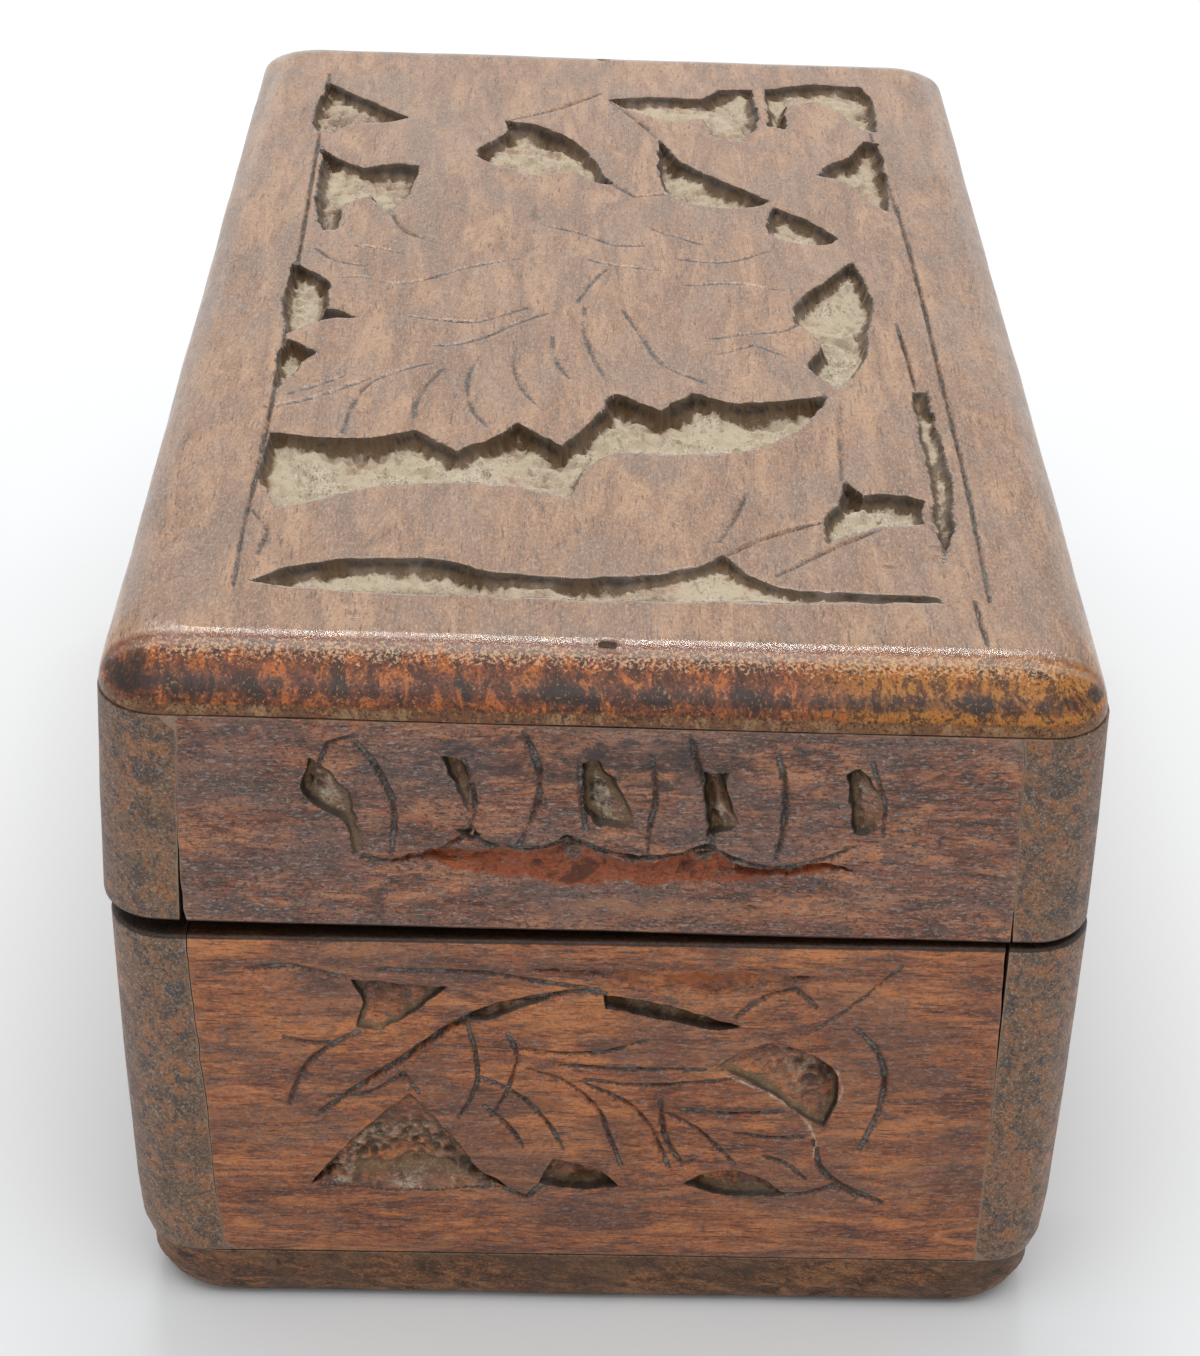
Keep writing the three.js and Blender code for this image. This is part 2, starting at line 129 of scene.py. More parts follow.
def open_with(board, kind, chosen):
    """Opens a board for editing with the given vertices, edges or faces selected."""
    bpy.context.view_layer.objects.active = board
    bpy.context.tool_settings.mesh_select_mode = (kind == "VERT", kind == "EDGE", kind == "FACE")
    parts = {"VERT": board.data.vertices, "EDGE": board.data.edges, "FACE": board.data.polygons}
    for name, items in parts.items():
        items.foreach_set("select", chosen if name == kind else np.zeros(len(items), bool))
    bpy.ops.object.mode_set(mode="EDIT")


def start_plank(name, low, high):
    """A sawn plank: a cube drawn between two corners."""
    bpy.ops.object.select_all(action="DESELECT")
    middle = [(a + b) / 2 for a, b in zip(low, high)]
    bpy.ops.mesh.primitive_cube_add(size=1, location=middle)
    plank = bpy.context.object
    plank.name = name
    plank.scale = [b - a for a, b in zip(low, high)]
    bpy.ops.object.transform_apply(location=True, rotation=False, scale=True)
    return plank


def upright(middle, along):
    """Picks the edges that stand upright, for round_edges."""
    return along[:, 2] > 0.9


def round_edges(plank, picked, radius, segments):
    """Bevels the edges that a rule picks from each edge's middle and direction."""
    places = corners_of(plank)
    ends = np.empty(len(plank.data.edges) * 2, int)
    plank.data.edges.foreach_get("vertices", ends)
    first, second = places[ends[0::2]], places[ends[1::2]]
    along = np.abs(second - first)
    along /= np.linalg.norm(along, axis=1)[:, None]
    open_with(plank, "EDGE", picked((first + second) / 2, along))
    bpy.ops.mesh.bevel(offset=radius, offset_type="OFFSET", segments=segments, affect="EDGES")
    bpy.ops.object.mode_set(mode="OBJECT")


def ease_face(plank, rings):
    """Draws the face that looks up or down out in steps, each ring a height and half sizes."""
    middles = np.empty(len(plank.data.polygons) * 3)
    plank.data.polygons.foreach_get("center", middles)
    heights = middles[2::3]
    upward = rings[-1][0] > heights.mean()
    end = heights.max() if upward else heights.min()
    places = corners_of(plank)
    height, half_x, half_y = end, np.abs(places[:, 0]).max(), np.abs(places[:, 1]).max()
    open_with(plank, "FACE", np.abs(heights - end) < 1e-4)
    for next_height, next_x, next_y in rings:
        rise = (0, 0, next_height - height)
        bpy.ops.mesh.extrude_region_move(TRANSFORM_OT_translate={"value": rise})
        size = (next_x / half_x, next_y / half_y, 1)
        bpy.ops.transform.resize(value=size, center_override=(0, 0, next_height))
        height, half_x, half_y = next_height, next_x, next_y
    bpy.ops.object.mode_set(mode="OBJECT")


def net_over(plank):
    """Bisects the plank into an even net of small squares, which carving and wear can move."""
    places = corners_of(plank)
    low, high = places.min(0), places.max(0)
    bpy.context.view_layer.objects.active = plank
    bpy.ops.object.mode_set(mode="EDIT")
    for axis in range(3):
        count = max(1, round((high[axis] - low[axis]) / net_cell))
        across = [float(axis == i) for i in range(3)]
        for step in range(1, count):
            cut = [low[i] + (high[i] - low[i]) * step / count for i in range(3)]
            bpy.ops.mesh.select_all(action="SELECT")
            bpy.ops.mesh.bisect(plane_co=cut, plane_no=across)
    bpy.ops.object.mode_set(mode="OBJECT")


def outward_of(board):
    """The way that the board's surface faces at each vertex."""
    normals = np.empty(len(board.data.vertices) * 3)
    board.data.vertices.foreach_get("normal", normals)
    return normals.reshape(-1, 3)


def age(board, seed, amount=0.06):
    """Uneven planing over 14 mm and dents over 4 mm, which sink every vertex a little along the
    board's own normals, so that nothing rises past the planed size."""
    places = corners_of(board)
    swell = amount * rough(places, 14, seed) + 0.4 * amount * rough(places, 4, seed + 1)
    move_corners(board, places - outward_of(board) * (1.4 * amount + swell)[:, None])


def to_metres(board, turn=Matrix.Identity(4)):
    """Brings a finished board to metres, in its place on the box, with smooth shading."""
    board.data.transform(turn)
    board.data.transform(Matrix.Scale(millimetre, 4))
    bpy.ops.object.select_all(action="DESELECT")
    board.select_set(True)
    bpy.context.view_layer.objects.active = board
    bpy.ops.object.shade_smooth_by_angle(angle=math.radians(smooth_below))


# Sheesham is an open-grained rosewood: golden brown with dark streaks, and pores that show as
# short dark dashes along the grain and as dots across it. Old oil and wax, handled and never
# cleaned, leave a dull bloom on it, blue-black where sweat and iron have stained it, with grime
# in the cuts, laid darker on their walls as painted shade, and pale dust in the pores.
# Each pattern's size is in millimetres: through the growth rings, along them, and with the
# grain. The pores, really about 0.15 wide, and the dust in them are drawn twice as wide, so that
# they show.
wood_patterns = {
    "streaks": {"size": (1.9, 3, 6), "Detail": 8, "Roughness": 0.7, "Distortion": 1},
    "fibres": {"size": (0.2, 0.4, 1.4), "Detail": 4, "Roughness": 0.75, "Distortion": 0.7},
    "pores": {"size": (0.25, 0.3, 2.6), "Detail": 1, "Roughness": 0.5},
    "flecks": {"size": (0.19, 0.24, 0.6), "Detail": 4, "Roughness": 0.75, "Distortion": 0.5},
    "clouds": {"size": (7, 9, 14), "Detail": 5, "Roughness": 0.6, "Distortion": 0.5},
    "blotches": {"size": (1.5, 2, 3.2), "Detail": 5, "Roughness": 0.66, "Distortion": 0.8},
    "grit": {"size": (0.3, 0.3, 0.36), "Detail": 3, "Roughness": 0.6, "Distortion": 0.6},
}


def waxed_sheesham(
        name, grain, tones, layers, gloss, relief, sheen=0, streaks=None, tilt=-38):
    """Old waxed wood. grain is the axis it runs along, and tones are its dark, middle and light.
    Each layer is laid over the ones before it: the mark that it follows, the pattern that breaks
    it up and how strongly, where it starts and is full, its amount and its colour."""
    finish = bpy.data.materials.new(name)
    finish.use_nodes = True
    tree = finish.node_tree
    shader = tree.nodes["Principled BSDF"]
    place = add_node(tree, "ShaderNodeTexCoord").outputs["Object"]
    turn = [0, 0, 0]
    turn[grain] = math.radians(tilt)
    seen = {}
    for pattern, look in wood_patterns.items():
        sizes = streaks if streaks and pattern == "streaks" else look["size"]
        through, along_rings, with_grain = [size * millimetre for size in sizes]
        size = [through, along_rings]
        size.insert(grain, with_grain)
        settings = {"vector_type": "TEXTURE", "Rotation": turn, "Scale": size}
        spot = add_node(tree, "ShaderNodeMapping", settings, {"Vector": place})
        settings = {key: value for key, value in look.items() if key != "size"}
        settings["Scale"] = 1
        noise = add_node(tree, "ShaderNodeTexNoise", settings, {"Vector": spot.outputs[0]})
        seen[pattern] = noise.outputs["Fac"]
    marks = {}
    for mark in {layer[0] for layer in layers if layer[0]} | {"dust", "polished"}:
        marks[mark] = add_node(tree, "ShaderNodeAttribute", {"attribute_name": mark}).outputs["Fac"]

    dark, middle, light = [linear(tone) for tone in tones]
    stops = [(0.4, dark), (0.6, light), (0.5, middle)]
    colour = add_node(tree, "ShaderNodeValToRGB", links={0: seen["streaks"]}, stops=stops).outputs[0]
    for mark, pattern, share, start, full, amount, tone in layers:
        source = seen[pattern]
        if mark:
            settings = {"operation": "MULTIPLY_ADD", 1: share}
            links = {0: seen[pattern], 2: marks[mark]}
            source = add_node(tree, "ShaderNodeMath", settings, links).outputs[0]
            start, full = start + share / 2, full + share / 2
        settings = {"From Min": start, "From Max": full, "To Max": amount}
        mask = add_node(tree, "ShaderNodeMapRange", settings, {"Value": source}).outputs[0]
        settings = {"data_type": "RGBA", 7: linear(tone)}
        colour = add_node(tree, "ShaderNodeMix", settings, {0: mask, 6: colour}).outputs[2]
    tree.links.new(colour, shader.inputs["Base Color"])

    settings = {"operation": "MULTIPLY_ADD", 1: 0.5, 2: gloss - 0.25}
    dull = add_node(tree, "ShaderNodeMath", settings, {0: seen["blotches"]}).outputs[0]
    settings = {"operation": "MAXIMUM"}
    duller = add_node(tree, "ShaderNodeMath", settings, {0: dull, 1: marks["dust"]}).outputs[0]
    settings = {"operation": "MULTIPLY_ADD", 1: -0.2}
    links = {0: marks["polished"], 2: duller}
    handled = add_node(tree, "ShaderNodeMath", settings, links).outputs[0]
    tree.links.new(handled, shader.inputs["Roughness"])
    shader.inputs["IOR"].default_value = 1.5
    shader.inputs["Specular IOR Level"].default_value = 0.35
    shader.inputs["Sheen Weight"].default_value = sheen
    shader.inputs["Sheen Roughness"].default_value = 0.4

    height = seen["fibres"]
    for pattern, weight in (("pores", -0.9), ("flecks", 0.7), ("grit", 1.2)):
        settings = {"operation": "MULTIPLY_ADD", 1: weight}
        links = {0: seen[pattern], 2: height}
        height = add_node(tree, "ShaderNodeMath", settings, links).outputs[0]
    settings = {"Strength": 1, "Distance": relief * millimetre}
    bump = add_node(tree, "ShaderNodeBump", settings, {"Height": height})
    tree.links.new(bump.outputs[0], shader.inputs["Normal"])
    return finish


# What any board of the box shows, listed from the wood outwards: grain, wear, grime and dust, with
# painted shade laid in with the grime and soot. A share below 0 picks the places where the pattern
# is low.
grain_layers = [
    (None, "fibres", 0, 0.5, 0.62, 0.4, "40261c"),
    (None, "fibres", 0, 0.48, 0.38, 0.45, "cc7a45"),
    (None, "pores", 0, 0.61, 0.67, 0.6, "2c1e19"),
]
wear_layers = [
    ("rim", "blotches", 1, 0.95, 1.1, 0.4, "a9734c"),
    ("rim", "grit", 0.25, 0.96, 0.99, 0.5, "968a79"),
    ("inner", "streaks", 1.5, 0.6, 1.2, 0.55, "8a6748"),
    ("scored", "grit", 1, 0.25, 0.6, 0.85, "2d2929"),
    ("scored", "flecks", 1.6, 0.6, 0.9, 0.7, "8f8a80"),
]
# Grime in the cuts, and painted shade on the walls of the pockets, darkest under their rims
grime_and_shade_layers = [
    ("grime", "grit", 0.9, 0.25, 0.7, 0.9, "3f2f20"),
    ("grime", "grit", 2, 1.7, 2.5, 0.85, "0f0b08"),
    ("grime", "blotches", 2, 0.8, 1.3, 0.6, "1f1711"),
]
dust_layers = [
    ("foot", "grit", 1.2, 0.35, 0.8, 0.75, "6e553a"),
    ("foot", "flecks", 2, 1.0, 1.3, 0.6, "a08968"),
    ("dust", "grit", 1.2, 0.3, 0.75, 0.95, "c4b49b"),
    ("dust", "blotches", 4, 1.2, 1.5, 0.6, "8c7960"),
    ("dust", "grit", -3, 1.2, 1.5, 0.6, "614c35"),
    ("dust", "flecks", 3, 1.1, 1.4, 0.6, "ddd1bd"),
    ("rubbed", "grit", 1.2, 0.35, 0.7, 0.8, "b5a9a4"),
    # Soot, and painted shade in the deep pockets and in the gap between lid and base
    ("sooty", "blotches", 0.8, 0.3, 0.6, 0.85, "2c1e14"),
    ("sooty", "grit", 1.2, 0.7, 1.1, 0.8, "140d09"),
]

bottom_plank = start_plank(
    "bottom_plank",
    (-bottom_half_width, -bottom_half_length, bottom_edge_height),
    (bottom_half_width, bottom_half_length, bottom_thickness),
)
round_edges(bottom_plank, upright, bottom_corner, bottom_corner_steps)
bottom_rings = []
for step in range(1, bottom_steps + 1):
    angle = step / bottom_steps * math.pi / 2
    share = 1 - math.cos(angle)
    bottom_rings.append((
        bottom_edge_height * (1 - math.sin(angle)),
        bottom_half_width - bottom_step_in[0] - bottom_drawn_in[0] * share,
        bottom_half_length - bottom_step_in[1] - bottom_drawn_in[1] * share,
    ))
ease_face(bottom_plank, bottom_rings)
net_over(bottom_plank)
places = corners_of(bottom_plank)
bottom_inside = (np.abs(places[:, 0]) < inner_half_width) & (places[:, 2] > bottom_thickness - 0.1)
bottom_inside &= np.abs(places[:, 1]) < inner_half_length
near_walls = np.clip(1 - (bottom_thickness - places[:, 2]) / edge_reach, 0, 1)
bottom_marks = {
    "grime": 0.75 * np.clip(1 - places[:, 2] / bottom_darkened_height, 0, 1),
    "inner": bottom_inside * 1.0,
    "rim": np.where(bottom_inside, 0, near_walls),
}
keep_marks(bottom_plank, bottom_marks)
age(bottom_plank, 11, 0.08)
to_metres(bottom_plank)
bottom_layers = grain_layers + [
    (None, "clouds", 0, 0.45, 0.55, 0.5, "47382e"),
    (None, "blotches", 0, 0.58, 0.66, 0.75, "241b16"),
] + wear_layers + grime_and_shade_layers + dust_layers
bottom_finish = waxed_sheesham(
    "dark_waxed_sheesham", 1, ("45301f", "66462f", "8a623f"), bottom_layers, 0.5, 0.03,
    streaks=(1.3, 4, 9), tilt=-80)
bottom_plank.data.materials.append(bottom_finish)
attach(bottom_plank, "base")
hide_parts("base_bottom_board")

# The end panels of the base: boards with their grain across the box, let in between the long
# walls and glued. Each has a leaf under an arch, cut with chisels and gouges: pockets sunk
# round the leaf, and its veins scored with a V tool.
glue_line = 0.1
closed_joint = -0.1
split_height = 44.6
base_wall_foot = bottom_thickness + glue_line
rim_rounding = 0.55
rim_steps = 3
arris = 0.05
panel_half_width = inner_half_width - closed_joint
base_shape = {
    "levels": (base_wall_foot, 8.4, 13, 28, split_height),
    "half_widths": (43.5, 44.1, 44.4, 44.8, 45),
    "half_lengths": (80.7, 81.1, 81.4, 81.4, 81.4),
}

arch_pockets = [
    {"depth": 2, "grime": 0.7, "outline": [
        (0.4, 38.6), (4, 38), (8.5, 36.8), (13, 35.3), (11, 34.9), (6, 35.9), (0.8, 37.2)]},
    {"depth": 2.1, "shallow": 0.15, "deep_end": (0.7, 0.7), "dust": 0.3, "grime": 0.6, "outline": [
        (10.7, 30.4), (13, 31.9), (16.2, 33.4), (19.2, 32.3), (22, 30.4), (22.6, 28), (21.4, 23.6),
        (19.3, 25), (16.4, 27.4), (13.5, 29.3)]},
    {"depth": 2.6, "shallow": 0.5, "deep_end": (0.1, -1), "ledge": 2, "grime": 0.8, "dust": 0.35,
     "outline": [
        (-27.3, 15.9), (-22.2, 22), (-17.3, 26.8), (-14.4, 23), (-11.6, 18.6), (-8.4, 15.6),
        (-18, 15.1)]},
    {"depth": 2.1, "shallow": 0.2, "deep_end": (-0.3, 1), "dust": 0.3, "grime": 0.6, "outline": [
        (-22.6, 39.8), (-14, 39.2), (-16.4, 36.8), (-20, 34), (-22.2, 34.4), (-21.6, 37.6)]},
    {"depth": 1.1, "outline": [
        (-7, 41.4), (6, 41.4), (20, 41.1), (15, 39.5), (9, 38.9), (3, 39.6)], "bare": 1},
    {"depth": 1.6, "outline": [
        (-5.2, 16.2), (-3.8, 19.2), (-1.2, 18.5), (1.2, 17.2), (2.4, 16), (-1, 15.5)]},
    {"depth": 1.5, "outline": [
        (8.7, 16.4), (10.4, 17.7), (13, 18), (15.6, 17.2), (18.4, 15.3), (13, 15)]},
    {"depth": 1.1, "outline": [
        (-12.5, 35.6), (-9.5, 37.2), (-4.6, 38.3), (-8, 36.6), (-10, 35.7)]},
]
arch_lines = [
    {"depth": 0.7, "width": 0.9, "line": [
        (-26, 24.5), (-18.5, 30.5), (-13, 35), (-9.5, 37), (-4.5, 38.4), (-1, 39), (0.5, 38.8)]},
    {"depth": 0.1, "width": 0.6, "pale": 0.6, "line": [
        (11.5, 29.8), (14, 28.6), (16.8, 27), (19.3, 24.8), (20.6, 22.5), (20.8, 20)]},
    {"depth": 0.1, "width": 0.5, "pale": 0.5, "line": [
        (22.3, 30.2), (22.9, 28), (22.3, 26), (21.2, 23.8)]},
    {"depth": 0.55, "width": 0.9, "line": [
        (20.6, 22), (21.5, 18.5), (23.5, 16.5), (27.5, 14.4)]},
    {"depth": 0.4, "width": 0.9, "line": [
        (23.8, 35.2), (26, 32.4), (26.8, 29), (26.3, 25), (25, 21)]},
    {"depth": 0.4, "width": 0.9, "line": [
        (-22, 34), (-24.5, 32.5), (-27, 30), (-28.5, 27), (-29, 25.5)]},
    {"depth": 0.3, "width": 0.8, "line": [(-32, 41), (-28, 41.3), (-24, 40.3)]},
    {"depth": 0.2, "width": 0.5, "line": [(20, 35), (23.8, 38.4), (27.5, 42.5)]},
    {"depth": 0.4, "width": 0.7, "line": [(-8.5, 15.5), (-6.5, 14.3), (-5, 16)]},
    {"depth": 0.5, "width": 0.8, "line": [(18.4, 15.3), (20.4, 15.4), (22.7, 16.4), (25, 15.2)]},
    {"depth": 0.35, "width": 0.7, "line": [(-20, 41.1), (-10, 40.8), (-4, 39.8), (0, 39.2)]},
    {"depth": 0.35, "width": 0.8, "line": [(12.6, 36.4), (14.8, 38.4), (18, 39.6), (20, 37.6)]},
    {"depth": 0.3, "width": 0.8, "line": [(-29, 33.2), (-26.6, 32.6), (-24.2, 32.6)]},
    {"depth": 0.4, "width": 0.8, "line": [(6, 26.4), (6.6, 22), (8.2, 18.8), (9.4, 19.2)]},
]
arch_veins = [
    [(-12, 35), (-11.2, 31), (-11.2, 28), (-12.8, 24)],
    [(-8.3, 34), (-7.5, 31.5), (-8.3, 27.5), (-9.8, 24.2)],
    [(-11, 29), (-7.5, 27), (-4.5, 23.5), (-3, 20.5)],
    [(-10.5, 25.5), (-8, 22.8), (-6.8, 20.6)],
    [(-6.5, 30), (-3, 28.5), (0, 25.5), (1.5, 21.5), (2.5, 18.5)],
    [(-1.5, 28.5), (3, 26), (5, 23.5), (7, 18.5)],
    [(6.5, 25), (9, 23.5), (12, 20.5), (13.2, 19)],
    [(-7, 32.3), (-3, 31.8), (1.5, 32.3), (4.5, 33.5)],
    [(-4, 30.5), (2, 30.1), (10, 30.2)],
    [(-1, 28.8), (4, 28.2), (12, 29)],
    [(8, 25.5), (13, 25), (17.5, 25.4)],
    [(13, 22.7), (17, 22.2), (20, 22.5)],
    [(16, 20), (18.4, 18.8), (20, 17.2)],
    [(-19, 25), (-17, 23.5), (-14.5, 21.5), (-13, 19.5)],
    [(-25, 26.4), (-21, 27), (-18, 29.2), (-16.6, 27)],
]
arch_lines += [{"depth": 0.36, "width": 0.58, "stain": 0.8, "line": vein} for vein in arch_veins]


def smooth_line(points, closed, spacing=0.12, corner_turn=48):
    """Points along a smooth line through the given ones. It stays sharp where it turns sharply."""
    fixed = np.array(points, float)
    count = len(fixed)
    spans = count if closed else count - 1
    arriving, leaving = np.zeros_like(fixed), np.zeros_like(fixed)
    for i in range(count):
        before = fixed[i] - fixed[i - 1] if closed or i > 0 else fixed[1] - fixed[0]
        after = fixed[(i + 1) % count] - fixed[i] if closed or i < count - 1 else before
        before, after = before / np.linalg.norm(before), after / np.linalg.norm(after)
        turn = math.degrees(math.acos(np.clip(before @ after, -1, 1)))
        both = before + after
        if turn < corner_turn:
            before = after = both / np.linalg.norm(both)
        arriving[i], leaving[i] = before, after
    line = []
    for i in range(spans):
        a, b = fixed[i], fixed[(i + 1) % count]
        length = np.linalg.norm(b - a)
        steps = max(2, int(length / spacing))
        t = (np.arange(steps) / steps)[:, None]
        m, n = leaving[i] * length, arriving[(i + 1) % count] * length
        line.append((2 * t**3 - 3 * t**2 + 1) * a + (t**3 - 2 * t**2 + t) * m
                    + (3 * t**2 - 2 * t**3) * b + (t**3 - t**2) * n)
    if not closed:
        line.append(fixed[-1:])
    return np.concatenate(line)


def nearest(points, marks):
    """For each flat point, the distance to the nearest of the marks, and which one it is."""
    tree = KDTree(len(marks))
    for number, (x, y) in enumerate(marks):
        tree.insert((x, y, 0), number)
    tree.balance()
    found = [tree.find((x, y, 0))[1:] for x, y in points]
    number, distance = np.array(found).T if len(found) else np.zeros((2, 0))
    return distance, number.astype(int)


def inside(points, outline):
    """True for the flat points that a closed outline holds."""
    held = np.zeros(len(points), bool)
    low, high = outline.min(0), outline.max(0)
    near = np.flatnonzero(((points > low) & (points < high)).all(1))
    x, y = points[near].T
    odd = np.zeros(len(near), bool)
    thin = outline[::3]
    for (ax, ay), (bx, by) in zip(thin, np.roll(thin, -1, 0)):
        if ay != by:
            odd ^= ((ay > y) != (by > y)) & (x < ax + (y - ay) * (bx - ax) / (by - ay))
    held[near] = odd
    return held


def side_of_box(turn, distance):
    """The middle, directions and inward way of an upright side, turned round from the near end."""
    about = Matrix.Rotation(math.radians(turn), 3, "Z")
    return {
        "middle": np.array(about @ Vector((0, -distance, 0))),
        "across": np.array(about @ Vector((1, 0, 0))),
        "up": np.array((0.0, 0, 1)),
        "inward": np.array(about @ Vector((0, 1, 0))),
    }


def on_side(places, side):
    """Each place as across and up on a side, and how far under the side's face it lies."""
    from_middle = places - side["middle"]
    flat = np.column_stack((from_middle @ side["across"], from_middle @ side["up"]))
    return flat, from_middle @ side["inward"]


def laid_out(motif, offset=0, mirror=1):
    """A copy of a motif's pockets or lines, mirrored and moved along the side."""
    copies = []
    for cut in motif:
        copy = dict(cut)
        for kind in ("outline", "line"):
            if kind in cut:
                copy[kind] = [(mirror * x + offset, y) for x, y in cut[kind]]
        if "deep_end" in cut:
            copy["deep_end"] = (mirror * cut["deep_end"][0], cut["deep_end"][1])
        copies.append(copy)
    return copies


def grows(values, start, reach):
    """From 0 at the start to 1 a reach further on. A reach below 0 goes the other way."""
    return np.clip((values - start) / reach, 0, 1)


def of_each(cuts, owner, name, otherwise=None):
    """The named value of the cut that each point belongs to."""
    return np.array([cut.get(name, otherwise) for cut in cuts], float)[owner]


def wandering(points, size, seed):
    """Noise in two directions at each point."""
    return np.column_stack((rough(points, size, seed), rough(points, size, seed + 1)))


def drawn_to(distance, cell):
    """Distances from a cut once the nearest corners of a net of cells are drawn onto it."""
    return np.where(distance < cell, np.interp(distance, (cell / 2, cell), (0, cell)), distance)


# Each step halves the cells of the net within its reach of a cut, down to its own size. What
# lies less than flat_within from the plane of the side that is carved belongs to that side.
net_levels = ((0.8, 2.4), (0.4, 1.3), (0.2, 0.45), (0.1, 0.25))
flat_within = 0.3


def refine_net(board, side, rims, rim_points, groove_points, finest):
    """Makes the side's own net finer towards the cuts, down to the finest cell."""
    for cell, reach in net_levels:
        if cell < finest:
            break
        middles = np.empty(len(board.data.polygons) * 3)
        board.data.polygons.foreach_get("center", middles)
        at, under = on_side(middles.reshape(-1, 3), side)
        facing = np.flatnonzero(np.abs(under) < flat_within)
        at = at[facing]
        close = np.minimum(nearest(at, rim_points)[0], nearest(at, groove_points)[0]) < reach
        if cell > 1.5 * finest:
            for rim in rims:
                close |= inside(at, rim)
        chosen = np.zeros(len(under), bool)
        chosen[facing[close]] = True
        open_with(board, "FACE", chosen)
        bpy.ops.mesh.subdivide(number_cuts=1)
        bpy.ops.object.mode_set(mode="OBJECT")


def depth_at_full(at, owner, pockets, rims):
    """How deep the floor of its pocket is under each point. Some pockets deepen towards one end."""
    full = of_each(pockets, owner, "depth")
    for place, pocket in enumerate(pockets):
        if "deep_end" in pocket:
            mine = owner == place
            towards = np.array(pocket["deep_end"], float)
            extent = rims[place] @ towards
            share = (at[mine] @ towards - extent.min()) / (extent.max() - extent.min())
            rise = (pocket["depth"] - pocket["shallow"]) * np.clip(share, 0, 1)
            full[mine] = pocket["shallow"] + rise
    return full


# The crushed lip round a pocket, the shake of a hand-held V tool, and the stain beside the cuts
lip_width = 0.45
lip_depth = 0.07
line_shake = 0.06
stained_width = 0.9


